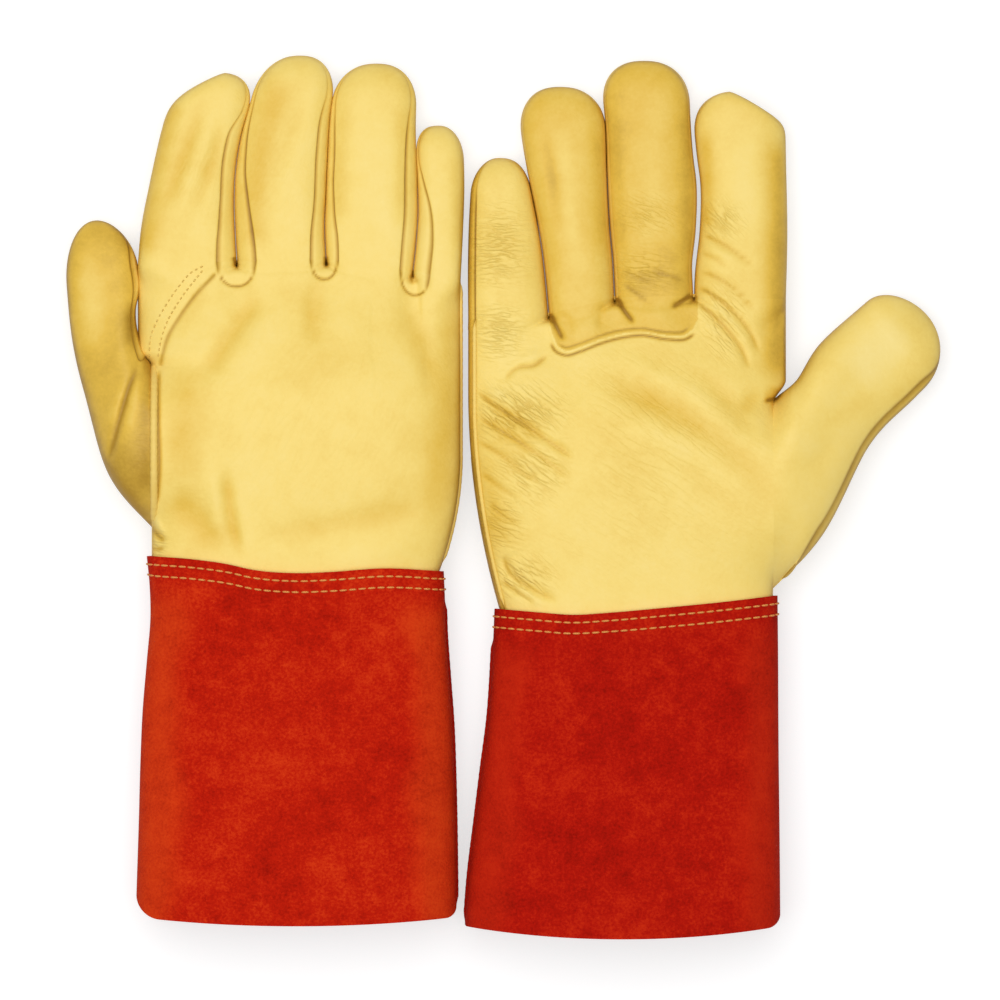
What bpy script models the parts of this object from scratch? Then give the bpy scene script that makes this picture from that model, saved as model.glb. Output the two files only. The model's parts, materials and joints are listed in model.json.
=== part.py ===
"""A pair of leather welding gloves laid flat on a table, one palm down and one palm up.

Sizes are in millimetres in each glove's own plan: x runs from the thumb side to the little
finger side, y from the cuff to the fingertips and z up from the table. Every leather piece
starts as a flat blank, which is then bent to its place in the glove.
"""

import math
from dataclasses import dataclass

import bmesh
import bpy
from mathutils import Matrix, Vector
from mathutils.bvhtree import BVHTree

MM = 0.001

# Leather, thread and the gaps between sewn pieces
GRAIN_THICKNESS = 1.2
SPLIT_THICKNESS = 1.6
WELT_THICKNESS = 1.4
WELT_PROUD = 1.1
THREAD_DIAMETER = 0.9
SEAM_GAP = 0.4
FINGER_GAP = 1.4
PAIR_GAP = 0.8

# How square the sections are: 2 is an ellipse
HAND_SQUARENESS = 3.0
FINGER_SQUARENESS = 2.8

# The lap of the hand inside the cuff, and the two rows of stitches that hold it
LAP = 14.0
CUFF_ROW_DEPTHS = {"upper": 3.2, "lower": 7.6}
CUFF_STRAIGHT = 17.0
CUFF_WELT_START = 12.0

# The two rows across the base of the index finger, on the back of the hand
INDEX_ROW_SPACING = 4.0
INDEX_ROW_STEP = 3.0
INDEX_SEAM_RISE = 33.0
INDEX_SEAM_INSET = 14.0
INDEX_SEAM_END_INSET = 3.0
INDEX_SEAM_KNUCKLE_INSET = 4.0

# The walls between the fingers, as an angle on the finger's section
WALL_ANGLE = math.radians(40.0)
WALL_TAPER_START = 0.55
WALL_TAPER_LEFT = 0.1
WALL_END = 0.96
SEAM_ANGLE_GAP = math.radians(1.2)

# The ends of the fingers and of the thumb, where back and front meet
END_WIDTH_SHARE = 0.22
END_HEIGHT_SHARE = 0.05
THUMB_ROUND_START = 0.8

# Where the sides of the hand widen and where its side welt starts, as shares of its length
THUMB_SIDE_WIDENING = 0.7
SIDE_WELT_START = 0.03


@dataclass(frozen=True)
class Level:
    """Heights above the table: the underside, the side seams and the top."""

    bottom: float
    seam: float
    top: float


THREAD_ROOM = THREAD_DIAMETER + 2.0 * SEAM_GAP
CUFF_OVER_HAND = SPLIT_THICKNESS + SEAM_GAP
WRIST_LEVEL = Level(THREAD_ROOM + CUFF_OVER_HAND, 17.0, 33.0)
HAND_LEVEL = Level(0.5, 15.0, 37.0)
KNUCKLE_LEVEL = Level(THREAD_ROOM, 12.5, 25.0)
FINGERTIP_LEVEL = Level(0.2, 9.5, 19.0)
THUMB_TIP_LEVEL = Level(0.2, 10.0, 20.0)
CUFF_MOUTH_LEVEL = Level(-1.6, 20.0, 44.0)


@dataclass(frozen=True)
class Finger:
    """One finger: its widths at the knuckles and at the top line, and its reach from the wrist."""

    name: str
    base_width: float
    top_width: float
    reach: float
    tip_round: float
    tip_squareness: float = 2.2
    tip_slant: float = 0.0


@dataclass(frozen=True)
class ThumbStation:
    """A section of the thumb: how far out and up from its root, its half width and its turn."""

    out: float
    up: float
    half_width: float
    turn: float


@dataclass(frozen=True)
class Glove:
    """The sizes of one glove as it lies on the table."""

    name: str
    palm_up: bool
    wrist_height: float
    wrist_width: float
    wrist_tilt: float
    wrist_bow: float
    thumb_side: float
    little_widening: float
    knuckle_reach: tuple[float, ...]
    top_line: float
    top_start: float
    fingers: tuple[Finger, ...]
    thumb_root_low: float
    thumb_root_high: float
    thumb_stations: tuple[ThumbStation, ...]
    cuff_length: float
    cuff_mouth_width: float
    cuff_mouth_shift: float
    cuff_mouth_bow: float


PALM_DOWN = Glove(
    name="glove1",
    palm_up=False,
    wrist_height=-30.4,
    wrist_width=118.8,
    wrist_tilt=-3.2,
    wrist_bow=3.6,
    thumb_side=63.0,
    little_widening=0.4,
    knuckle_reach=(122.8, 124.0, 124.8, 120.0, 116.8),
    top_line=188.2,
    top_start=-49.3,
    fingers=(
        Finger("index", 39.6, 31.9, 199.6, 19.0, 2.8, 9.0),
        Finger("middle", 35.6, 32.2, 206.4, 17.0),
        Finger("ring", 34.7, 33.2, 203.2, 17.0),
        Finger("little", 19.0, 18.8, 178.4, 15.0),
    ),
    thumb_root_low=13.0,
    thumb_root_high=85.0,
    thumb_stations=(
        ThumbStation(9.8, 15.0, 25.3, 14.5),
        ThumbStation(16.2, 38.6, 19.1, 30.9),
        ThumbStation(19.1, 64.4, 14.3, 67.8),
        ThumbStation(22.7, 91.4, 13.0, 85.0),
    ),
    cuff_length=140.8,
    cuff_mouth_width=127.4,
    cuff_mouth_shift=0.2,
    cuff_mouth_bow=5.0,
)

PALM_UP = Glove(
    name="glove2",
    palm_up=True,
    wrist_height=-45.9,
    wrist_width=113.2,
    wrist_tilt=-3.0,
    wrist_bow=4.5,
    thumb_side=59.8,
    little_widening=0.75,
    knuckle_reach=(124.3, 126.0, 125.0, 118.5, 116.3),
    top_line=188.5,
    top_start=-59.4,
    fingers=(
        Finger("index", 36.8, 36.7, 207.5, 19.0, 2.8, 10.0),
        Finger("middle", 31.6, 35.0, 219.8, 18.0),
        Finger("ring", 26.4, 33.4, 209.4, 18.0),
        Finger("little", 32.1, 19.6, 181.0, 15.0),
    ),
    thumb_root_low=9.0,
    thumb_root_high=85.0,
    thumb_stations=(
        ThumbStation(14.5, 14.1, 31.6, 9.1),
        ThumbStation(28.7, 39.3, 23.1, 23.5),
        ThumbStation(45.7, 56.1, 21.1, 31.4),
        ThumbStation(61.9, 70.9, 20.0, 40.0),
    ),
    cuff_length=130.5,
    cuff_mouth_width=125.8,
    cuff_mouth_shift=5.5,
    cuff_mouth_bow=8.0,
)

# How finely each blank is divided
FINGER_ROWS = (0.0, 0.25, 0.5, 0.68, 0.8, 0.9, 0.96, 1.0)
STRIP_COLUMNS = 4
WALL_COLUMNS = 2
WRAP_COLUMNS = 9
THUMB_ROWS = (0.0, 0.12, 0.25, 0.5, 0.7, 0.8, 0.9, 0.96, 1.0)
THUMB_COLUMNS = 8
THUMB_ROOT_ROWS = 4
HAND_UPPER_ROW = 0.86
HAND_SIDE_COLUMNS = (0.9, 0.975)
CUFF_ROWS = (0.4, 0.7, 1.0)
WELT_ROWS = 8


def mix(start, end, share):
    """A value part of the way from one to another."""
    return start + (end - start) * share


def smooth(share):
    """An eased step from 0 to 1."""
    share = min(max(share, 0.0), 1.0)
    return share * share * (3.0 - 2.0 * share)


def even(start, end, count):
    """Evenly spaced values, with both ends."""
    return [mix(start, end, i / count) for i in range(count + 1)]


def arch(across, squareness):
    """The height of a unit superellipse at a distance across it."""
    return (1.0 - min(abs(across), 1.0) ** squareness) ** (1.0 / squareness)


def rounded(angle, squareness):
    """The point of a unit superellipse at an angle."""
    power = 2.0 / squareness
    across = math.copysign(abs(math.cos(angle)) ** power, math.cos(angle))
    rise = math.copysign(abs(math.sin(angle)) ** power, math.sin(angle))
    return across, rise


def mix_levels(start, end, share):
    """The level part of the way from one to another."""
    return Level(
        mix(start.bottom, end.bottom, share),
        mix(start.seam, end.seam, share),
        mix(start.top, end.top, share),
    )


def end_rounding(share, start, squareness):
    """How much of its width and of its height a finger keeps toward its rounded end."""
    turn = min(max((share - start) / (1.0 - start), 0.0), 1.0)
    kept = (1.0 - turn ** squareness) ** (1.0 / squareness)
    return max(kept, END_WIDTH_SHARE), max(kept, END_HEIGHT_SHARE)


class GloveForm:
    """Places every point of one glove's leather from its sizes."""

    def __init__(self, sizes):
        self.sizes = sizes
        self.knuckles = [-sizes.thumb_side]
        self.tops = [sizes.top_start]
        for finger in sizes.fingers:
            self.knuckles.append(self.knuckles[-1] + finger.base_width)
            self.tops.append(self.tops[-1] + finger.top_width)
        self.wrist_half = sizes.wrist_width / 2.0 - CUFF_OVER_HAND
        self.root_middle = (sizes.thumb_root_low + sizes.thumb_root_high) / 2.0
        self.root_half = (sizes.thumb_root_high - sizes.thumb_root_low) / 2.0
        self.palm_side = 1 if sizes.palm_up else -1
        self.mirror = -1.0 if sizes.palm_up else 1.0

    def wrist_line(self, across):
        """How far up the cuff's upper edge lies, across the wrist."""
        return self.sizes.wrist_tilt * across + self.sizes.wrist_bow * across * across

    def mouth_line(self, across):
        """How far down the cuff's mouth lies, across it."""
        return self.sizes.cuff_mouth_bow * across * across - self.sizes.cuff_length

    def knuckle_line(self, x):
        """How far up the fingers leave the hand."""
        reach = self.sizes.knuckle_reach
        for i in range(len(self.sizes.fingers)):
            left, right = self.knuckles[i], self.knuckles[i + 1]
            if x <= right or i == len(self.sizes.fingers) - 1:
                share = min(max((x - left) / (right - left), 0.0), 1.0)
                return mix(reach[i], reach[i + 1], share)
        return reach[-1]

    def hand_sides(self, share):
        """The thumb side and the little finger side of the hand, part of the way up it."""
        widening = smooth((share - THUMB_SIDE_WIDENING) / (1.0 - THUMB_SIDE_WIDENING))
        thumb = mix(-self.wrist_half, self.knuckles[0], widening)
        left = 1.0 - min(max(share / self.sizes.little_widening, 0.0), 1.0)
        little = mix(self.wrist_half, self.knuckles[-1], 1.0 - left * left)
        return thumb, little

    def hand_level(self, share):
        """The heights of the hand from the wrist to the knuckles."""
        share = min(max(share, 0.0), 1.0)
        wrist = (1.0 - share) * (1.0 - 2.0 * share)
        middle = 4.0 * share * (1.0 - share)
        knuckle = share * (2.0 * share - 1.0)
        levels = (WRIST_LEVEL, HAND_LEVEL, KNUCKLE_LEVEL)
        shares = (wrist, middle, knuckle)
        return Level(
            sum(s * level.bottom for s, level in zip(shares, levels)),
            sum(s * level.seam for s, level in zip(shares, levels)),
            sum(s * level.top for s, level in zip(shares, levels)),
        )

    def hand_plan(self, share, across):
        """The plan place of a point of the hand; a share below 0 is on the lap inside the cuff."""
        thumb, little = self.hand_sides(1.0)
        knuckle = self.knuckle_line(mix(thumb, little, (across + 1.0) / 2.0)) - SEAM_GAP / 2.0
        wrist = self.wrist_line(across)
        y = wrist + share * LAP if share < 0.0 else mix(wrist, knuckle, share)
        thumb, little = self.hand_sides(share)
        return (thumb + little) / 2.0, (little - thumb) / 2.0, y

    def thumb_share(self, y):
        """How far up the thumb side of the hand a height lies."""
        low = self.wrist_line(-1.0)
        return (y - low) / (self.sizes.knuckle_reach[0] - low)

    def hand_point(self, share, across, side, depth):
        """A point of the hand's upper or lower sheet, at a depth into its leather.

        Args:
            share: from 0 at the wrist to 1 at the knuckles.
            across: from -1 on the thumb side to 1 on the little finger side.
            side: 1 on the upper sheet and -1 on the lower one.
            depth: 0 on the outer face and 1 on the inner face.
        """
        middle, half, y = self.hand_plan(share, across)
        opening = 1.0
        if across < 0.0:
            opening = min(abs(y - self.root_middle) / self.root_half, 1.0)
        height = arch(across * opening, HAND_SQUARENESS)
        inset = depth * GRAIN_THICKNESS
        level = self.hand_level(share)
        rise = (level.top - level.seam if side > 0 else level.seam - level.bottom) - inset
        slit = SEAM_GAP + WELT_THICKNESS / 2.0 if across > 0.0 else SEAM_GAP / 2.0
        return Vector((middle + across * (half - inset), y, level.seam + side * max(height * rise, slit)))

    def gap_lean(self, index):
        """How far the line between two fingers leans to the little finger side as it rises."""
        rise = self.sizes.top_line - self.sizes.knuckle_reach[index]
        return (self.tops[index] - self.knuckles[index]) / rise

    def knuckle_lean(self):
        """The mean lean of the lines between the fingers, which all the knuckles bend square to."""
        inner = range(1, len(self.sizes.fingers))
        return sum(self.gap_lean(i) for i in inner) / len(inner)

    def gap_line(self, index, y):
        """Where the line between two fingers lies at a height."""
        return self.knuckles[index] + self.gap_lean(index) * (y - self.sizes.knuckle_reach[index])

    def finger_point(self, index, share, angle, depth):
        """A point of a finger, from 0 at the knuckle to 1 at the tip; angle 0 faces the little finger."""
        finger = self.sizes.fingers[index]
        reach = self.sizes.knuckle_reach
        across, rise = rounded(angle, FINGER_SQUARENESS)
        inset = depth * GRAIN_THICKNESS
        round_start = 1.0 - finger.tip_round / (finger.reach - reach[index])
        width_kept, height_kept = end_rounding(share, round_start, finger.tip_squareness)
        base = mix(reach[index], reach[index + 1], (across + 1.0) / 2.0) + SEAM_GAP / 2.0
        tip = finger.reach - finger.tip_slant * (1.0 - across * width_kept) / 2.0 - inset
        y = mix(base, tip, share)
        left = self.gap_line(index, y) + (FINGER_GAP / 2.0 if index > 0 else 0.0)
        last = len(self.sizes.fingers) - 1
        right = self.gap_line(index + 1, y) - (FINGER_GAP / 2.0 if index < last else 0.0)
        half = ((right - left) / 2.0 - inset) * width_kept
        level = mix_levels(KNUCKLE_LEVEL, FINGERTIP_LEVEL, smooth(share))
        height = (level.top - level.seam if rise > 0.0 else level.seam - level.bottom) - inset
        return Vector(((left + right) / 2.0 + across * half, y, level.seam + rise * height * height_kept))

    def thumb_station(self, share):
        """The thumb's section part of the way along it, by a smooth curve through its stations."""
        root = ThumbStation(0.0, 0.0, self.root_half, 0.0)
        stations = (root,) + self.sizes.thumb_stations
        spans = len(stations) - 1
        i = min(int(share * spans), spans - 1)
        part = share * spans - i
        before = stations[max(i - 1, 0)]
        start, end = stations[i], stations[i + 1]
        after = stations[min(i + 2, spans)]

        def curve(name):
            a, b, c, d = (getattr(station, name) for station in (before, start, end, after))
            slope_b, slope_c = (c - a) / 2.0, (d - b) / 2.0
            cubic = 2.0 * b - 2.0 * c + slope_b + slope_c
            square = 3.0 * c - 3.0 * b - 2.0 * slope_b - slope_c
            return b + part * (slope_b + part * (square + part * cubic))

        return ThumbStation(curve("out"), curve("up"), curve("half_width"), curve("turn"))

    def thumb_edge(self, y):
        """Where the hand ends and the thumb starts."""
        return self.hand_sides(self.thumb_share(y))[0]

    def thumb_point(self, share, angle, depth, offset):
        """A point of the thumb, from 0 at its root to 1 at its tip; angle 0 faces the index finger."""
        across, rise = rounded(angle, HAND_SQUARENESS)
        inset = depth * GRAIN_THICKNESS
        root_y = self.root_middle + across * self.root_half
        length = self.sizes.thumb_stations[-1].up
        station = self.thumb_station(share * (1.0 - inset / length))
        width_kept, height_kept = end_rounding(share, THUMB_ROUND_START, 2.0)
        half = (station.half_width - inset) * width_kept
        turn = math.radians(station.turn)
        edge = mix(self.thumb_edge(root_y), self.thumb_edge(self.root_middle), smooth(share))
        x = edge - offset - station.out + across * half * math.sin(turn)
        y = self.root_middle + station.up + across * half * math.cos(turn)
        root_level = self.hand_level(self.thumb_share(root_y))
        level = mix_levels(root_level, THUMB_TIP_LEVEL, smooth(share))
        height = (level.top - level.seam if rise > 0.0 else level.seam - level.bottom) - inset
        return Vector((x, y, level.seam + rise * height * height_kept))

    def cuff_point(self, down, across, side, depth):
        """A point of the cuff at a distance below its upper edge along the middle."""
        sizes = self.sizes
        inset = depth * SPLIT_THICKNESS
        flare = smooth((down - CUFF_STRAIGHT) / (sizes.cuff_length - CUFF_STRAIGHT))
        top = Level(
            WRIST_LEVEL.bottom - CUFF_OVER_HAND, WRIST_LEVEL.seam, WRIST_LEVEL.top + CUFF_OVER_HAND
        )
        level = mix_levels(top, CUFF_MOUTH_LEVEL, flare)
        half = mix(sizes.wrist_width, sizes.cuff_mouth_width, flare) / 2.0 - inset
        y = mix(self.wrist_line(across), self.mouth_line(across), down / sizes.cuff_length)
        rise = (level.top - level.seam if side > 0 else level.seam - level.bottom) - inset
        slit = SEAM_GAP + WELT_THICKNESS / 2.0 if across > 0.0 else 0.0
        z = level.seam + side * max(arch(across, HAND_SQUARENESS) * rise, slit)
        return Vector((sizes.cuff_mouth_shift * flare + across * half, y, max(z, inset)))

    def little_extents(self):
        """How far the hand and the cuff's mouth reach on the little finger side."""
        hand = max(self.knuckles[-1] + WELT_PROUD, self.tops[-1])
        mouth = self.sizes.cuff_mouth_width / 2.0 + self.sizes.cuff_mouth_shift + WELT_PROUD
        return hand, mouth

    def columns(self):
        """Places across the hand: the middles and edges of the fingers, and the rounded sides."""
        thumb, little = self.hand_sides(1.0)
        places = [2.0 * (x - thumb) / (little - thumb) - 1.0 for x in self.knuckles]
        middles = [(a + b) / 2.0 for a, b in zip(places, places[1:])]
        sides = [s for share in HAND_SIDE_COLUMNS for s in (share, -share)]
        inner = [x for x in places + middles if abs(x) < HAND_SIDE_COLUMNS[0]]
        return sorted([-1.0, 1.0] + sides + inner)


class Workshop:
    """Makes the objects of one glove and hangs them on the glove's frames."""

    def __init__(self, form, collection, place, materials):
        self.form = form
        self.name = form.sizes.name
        self.collection = collection
        self.materials = materials
        self.root = self.frame("root", Matrix.Translation(place), None)

    def frame(self, name, matrix, parent):
        """An empty that carries pieces, with its X axis along the hinge it stands for."""
        empty = bpy.data.objects.new(f"{self.name}_{name}_frame", None)
        empty.empty_display_size = 0.02
        self.collection.objects.link(empty)
        empty.parent = parent
        empty.matrix_basis = matrix
        return empty

    def place(self, point):
        """A plan point in millimetres as a point of the root frame in metres."""
        return Vector((self.form.mirror * point.x, point.y, point.z)) * MM

    def hinge(self, name, point, along):
        """A frame at a point of a hinge, with its X axis along the hinge."""
        turn = math.atan2(along.y, self.form.mirror * along.x)
        matrix = Matrix.Translation(self.place(point)) @ Matrix.Rotation(turn, 4, "Z")
        return self.frame(name, matrix, self.root)

    def link(self, name, mesh, material, parent):
        """Name, colour, smooth and hang one piece; its mesh is in the root frame."""
        if parent is not self.root:
            mesh.transform(parent.matrix_basis.inverted())
        mesh.materials.append(self.materials[material])
        mesh.shade_smooth()
        mesh.set_sharp_from_angle(angle=math.radians(50.0))
        piece = bpy.data.objects.new(f"{self.name}_{name}", mesh)
        piece.parent = parent
        self.collection.objects.link(piece)
        return piece

    def formed(self, name, rows, columns, form, material, parent=None):
        """Cut a flat blank, give it its thickness and bend it to its place.

        Args:
            rows, columns: the places along and across the blank where it is divided.
            form: gives the place of a row, a column and a depth from 0 to 1.
        """
        blank = bmesh.new()
        spans_across, spans_along = len(columns) - 1, len(rows) - 1
        bmesh.ops.create_grid(blank, x_segments=spans_across, y_segments=spans_along, size=0.5)
        bmesh.ops.solidify(blank, geom=blank.faces[:], thickness=1.0)
        for corner in blank.verts:
            column = columns[round((corner.co.x + 0.5) * spans_across)]
            row = rows[round((corner.co.y + 0.5) * spans_along)]
            corner.co = self.place(form(row, column, min(abs(corner.co.z), 1.0)))
        if blank.calc_volume(signed=True) < 0.0:
            bmesh.ops.reverse_faces(blank, faces=blank.faces[:])
        mesh = bpy.data.meshes.new(f"{self.name}_{name}")
        blank.to_mesh(mesh)
        blank.free()
        return self.link(name, mesh, material, parent or self.root)

    def thread(self, name, points, closed):
        """A row of stitches as one run of thread."""
        curve = bpy.data.curves.new(f"{self.name}_{name}", "CURVE")
        curve.dimensions = "3D"
        curve.bevel_depth = THREAD_DIAMETER / 2.0 * MM
        curve.bevel_resolution = 1
        curve.use_fill_caps = True
        run = curve.splines.new("POLY")
        run.points.add(len(points) - 1)
        for knot, point in zip(run.points, points):
            knot.co = (*self.place(point), 1.0)
        run.use_cyclic_u = closed
        curve.materials.append(self.materials["thread"])
        row = bpy.data.objects.new(f"{self.name}_{name}", curve)
        row.parent = self.root
        self.collection.objects.link(row)


def make_hand(shop):
    """The palm and back panels, the welts in their seams and the webs between the fingers."""
    form = shop.form
    root = even(form.sizes.thumb_root_low, form.sizes.thumb_root_high, THUMB_ROOT_ROWS)
    rows = [-1.0, 0.0] + [form.thumb_share(y) for y in root] + [HAND_UPPER_ROW, 1.0]
    columns = form.columns()
    panels = {}
    for name, side in (("palm_panel", form.palm_side), ("back_panel", -form.palm_side)):
        panels[name] = shop.formed(
            name,
            rows,
            columns,
            lambda row, column, depth, side=side: form.hand_point(row, column, side, depth),
            "grain",
        )

    def side_welt(row, column, depth):
        middle, half, y = form.hand_plan(row, 1.0)
        x = middle + half + mix(WELT_PROUD, -GRAIN_THICKNESS, depth)
        return Vector((x, y, form.hand_level(row).seam + column * WELT_THICKNESS / 2.0))

    welt_rows = [SIDE_WELT_START] + [row for row in rows if row > SIDE_WELT_START]
    shop.formed("side_welt", welt_rows, [-1.0, 1.0], side_welt, "welt")

    def thumb_welt(row, column, depth):
        y = form.root_middle + row * form.root_half
        level = form.hand_level(form.thumb_share(y))
        side = -form.palm_side
        rise = (level.top - level.seam if side > 0 else level.seam - level.bottom)
        z = level.seam + side * (rise * arch(row, HAND_SQUARENESS) + mix(WELT_PROUD, -GRAIN_THICKNESS, depth))
        return Vector((form.thumb_edge(y) - SEAM_GAP - column * WELT_THICKNESS, y, z))

    shop.formed("thumb_welt", even(-0.8, 0.8, WELT_ROWS), [0.0, 1.0], thumb_welt, "welt")

    names = [finger.name for finger in form.sizes.fingers]
    for i in range(1, len(names)):
        x, y = form.knuckles[i], form.sizes.knuckle_reach[i]
        inset = GRAIN_THICKNESS + SEAM_GAP
        thumb, little = form.hand_sides(1.0)
        height = arch(2.0 * (x - thumb) / (little - thumb) - 1.0, HAND_SQUARENESS)
        top = KNUCKLE_LEVEL.seam + (KNUCKLE_LEVEL.top - KNUCKLE_LEVEL.seam) * height - 2.0 * inset
        bottom = KNUCKLE_LEVEL.seam - (KNUCKLE_LEVEL.seam - KNUCKLE_LEVEL.bottom) * height + 2.0 * inset
        half = FINGER_GAP / 2.0 + GRAIN_THICKNESS

        def web(row, column, depth):
            return Vector((x + column * half, y - SEAM_GAP - depth * GRAIN_THICKNESS, mix(bottom, top, row)))

        shop.formed(f"{names[i - 1]}_{names[i]}_web", [0.0, 0.5, 1.0], [-1.0, 1.0], web, "gusset")
    return panels


def make_index_seam(shop, back):
    """Two rows of thread from the index finger's inner root down to the thumb side of the back."""
    form = shop.form
    mesh = back.data
    tree = BVHTree.FromPolygons([v.co for v in mesh.vertices], [p.vertices for p in mesh.polygons])
    side = -form.palm_side
    first_y = form.sizes.knuckle_reach[1] - INDEX_SEAM_KNUCKLE_INSET
    first = Vector((form.knuckles[1] - INDEX_SEAM_INSET, first_y, 0.0))
    last_y = form.sizes.knuckle_reach[0] - INDEX_SEAM_RISE
    last = Vector((form.thumb_edge(last_y) + INDEX_SEAM_END_INSET, last_y, 0.0))
    across = Vector((first.y - last.y, last.x - first.x, 0.0)).normalized()
    count = round((last - first).length / INDEX_ROW_STEP)
    for name, shift in (("upper", 0.0), ("lower", INDEX_ROW_SPACING)):
        points = []
        for share in even(0.0, 1.0, count):
            plan = first.lerp(last, share) + across * shift
            outside = shop.place(Vector((plan.x, plan.y, 2.0 * side * HAND_LEVEL.top)))
            hit = tree.ray_cast(outside, Vector((0.0, 0.0, -side)))[0]
            lift = side * (THREAD_DIAMETER / 2.0 + SEAM_GAP)
            points.append(Vector((plan.x, plan.y, hit.z / MM + lift)))
        shop.thread(f"index_seam_stitch_{name}", points, False)


def make_cuff(shop):
    """The gauntlet cuff, the welt in its seam and the two rows of stitches round the wrist."""
    form = shop.form
    length = form.sizes.cuff_length
    over = [(across, 1) for across in reversed(form.columns())]
    under = [(across, -1) for across in form.columns()[1:]]
    rows = [0.0, CUFF_STRAIGHT] + [share * length for share in CUFF_ROWS]
    shop.formed(
        "cuff",
        rows,
        over + under,
        lambda row, column, depth: form.cuff_point(row, column[0], column[1], depth),
        "split",
    )

    def cuff_welt(row, column, depth):
        over_edge = form.cuff_point(row, 1.0, 1, 0.0)
        under_edge = form.cuff_point(row, 1.0, -1, 0.0)
        x = over_edge.x + mix(WELT_PROUD, -SPLIT_THICKNESS, depth)
        middle = (over_edge.z + under_edge.z) / 2.0
        return Vector((x, over_edge.y, middle + column * WELT_THICKNESS / 2.0))

    shop.formed("cuff_welt", [CUFF_WELT_START] + rows[1:], [-1.0, 1.0], cuff_welt, "cuff_welt")

    for name, down in CUFF_ROW_DEPTHS.items():
        points = []
        for across, side in over + under:
            lift = -(THREAD_DIAMETER / 2.0 + SEAM_GAP) / SPLIT_THICKNESS
            points.append(form.cuff_point(down, across, side, lift))
        shop.thread(f"cuff_stitch_{name}", points, True)


def wall_angle(share):
    """How far round the section a finger's side wall reaches, tapering to its tip."""
    taper = smooth((share - WALL_TAPER_START) / (1.0 - WALL_TAPER_START))
    return WALL_ANGLE * mix(1.0, WALL_TAPER_LEFT, taper)


def make_fingers(shop):
    """The strips and side walls of the four fingers, each on its knuckle hinge."""
    form = shop.form
    last = len(form.sizes.fingers) - 1
    palm_height = KNUCKLE_LEVEL.top if form.sizes.palm_up else KNUCKLE_LEVEL.bottom
    over_name, under_name = ("front", "back") if form.sizes.palm_up else ("back", "front")
    for i, finger in enumerate(form.sizes.fingers):
        start = Vector((form.knuckles[i], form.sizes.knuckle_reach[i], palm_height))
        end = Vector((form.knuckles[i + 1], form.sizes.knuckle_reach[i + 1], palm_height))
        along = Vector((1.0, -form.knuckle_lean(), 0.0))
        hinge = shop.hinge(f"{finger.name}_knuckle", (start + end) / 2.0, along)

        def strip(name, begin, stop, columns, material, rows=FINGER_ROWS):
            def bend(row, column, depth):
                first = begin[0] + begin[1] * wall_angle(row) + SEAM_ANGLE_GAP
                final = stop[0] + stop[1] * wall_angle(row) - SEAM_ANGLE_GAP
                return form.finger_point(i, row, mix(first, final, column), depth)

            shop.formed(f"{finger.name}_{name}", rows, even(0.0, 1.0, columns), bend, material, hinge)

        turn = math.pi
        wall_rows = [row for row in FINGER_ROWS if row <= WALL_END]
        if i == 0:
            strip("wrap", (0.0, 1.0), (2.0 * turn, -1.0), WRAP_COLUMNS, "grain")
        elif i == last:
            strip(over_name, (0.0, 0.0), (turn, -1.0), STRIP_COLUMNS, "grain")
            strip(under_name, (turn, 1.0), (2.0 * turn, 0.0), STRIP_COLUMNS, "grain")
        else:
            strip(over_name, (0.0, 1.0), (turn, -1.0), STRIP_COLUMNS, "grain")
            strip(under_name, (turn, 1.0), (2.0 * turn, -1.0), STRIP_COLUMNS, "grain")
        if i > 0:
            strip("thumb_side_wall", (turn, -1.0), (turn, 1.0), WALL_COLUMNS, "gusset", wall_rows)
        if i < last:
            strip("little_side_wall", (0.0, -1.0), (0.0, 1.0), WALL_COLUMNS, "gusset", wall_rows)


def make_thumb(shop):
    """The two halves of the thumb, on a hinge along its root."""
    form = shop.form
    level = form.hand_level(form.thumb_share(form.root_middle))
    height = level.top if form.sizes.palm_up else level.bottom
    root = Vector((form.thumb_edge(form.root_middle), form.root_middle, height))
    hinge = shop.hinge("thumb_root", root, Vector((0.0, 1.0, 0.0)))
    back_offset = WELT_THICKNESS + 2.0 * SEAM_GAP
    for name, side, offset in (("front", form.palm_side, SEAM_GAP), ("back", -form.palm_side, back_offset)):
        first = SEAM_ANGLE_GAP if side > 0 else math.pi + SEAM_ANGLE_GAP

        def bend(row, column, depth):
            angle = mix(first, first + math.pi - 2.0 * SEAM_ANGLE_GAP, column)
            return form.thumb_point(row, angle, depth, offset)

        shop.formed(f"thumb_{name}", THUMB_ROWS, even(0.0, 1.0, THUMB_COLUMNS), bend, "grain", hinge)


def make_materials():
    """Yellow grain leather, its darker gussets and welts, red split leather and thread."""
    looks = {
        "grain": ((0.90, 0.67, 0.18, 1.0), 0.5),
        "gusset": ((0.82, 0.55, 0.09, 1.0), 0.5),
        "welt": ((0.80, 0.52, 0.10, 1.0), 0.55),
        "split": ((0.47, 0.010, 0.002, 1.0), 0.9),
        "cuff_welt": ((0.36, 0.008, 0.002, 1.0), 0.9),
        "thread": ((0.85, 0.40, 0.06, 1.0), 0.6),
    }
    materials = {}
    for name, (colour, roughness) in looks.items():
        material = bpy.data.materials.new(name)
        material.use_nodes = True
        shader = material.node_tree.nodes["Principled BSDF"]
        shader.inputs["Base Color"].default_value = colour
        shader.inputs["Roughness"].default_value = roughness
        shader.inputs["Metallic"].default_value = 0.0
        materials[name] = material
    return materials


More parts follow.
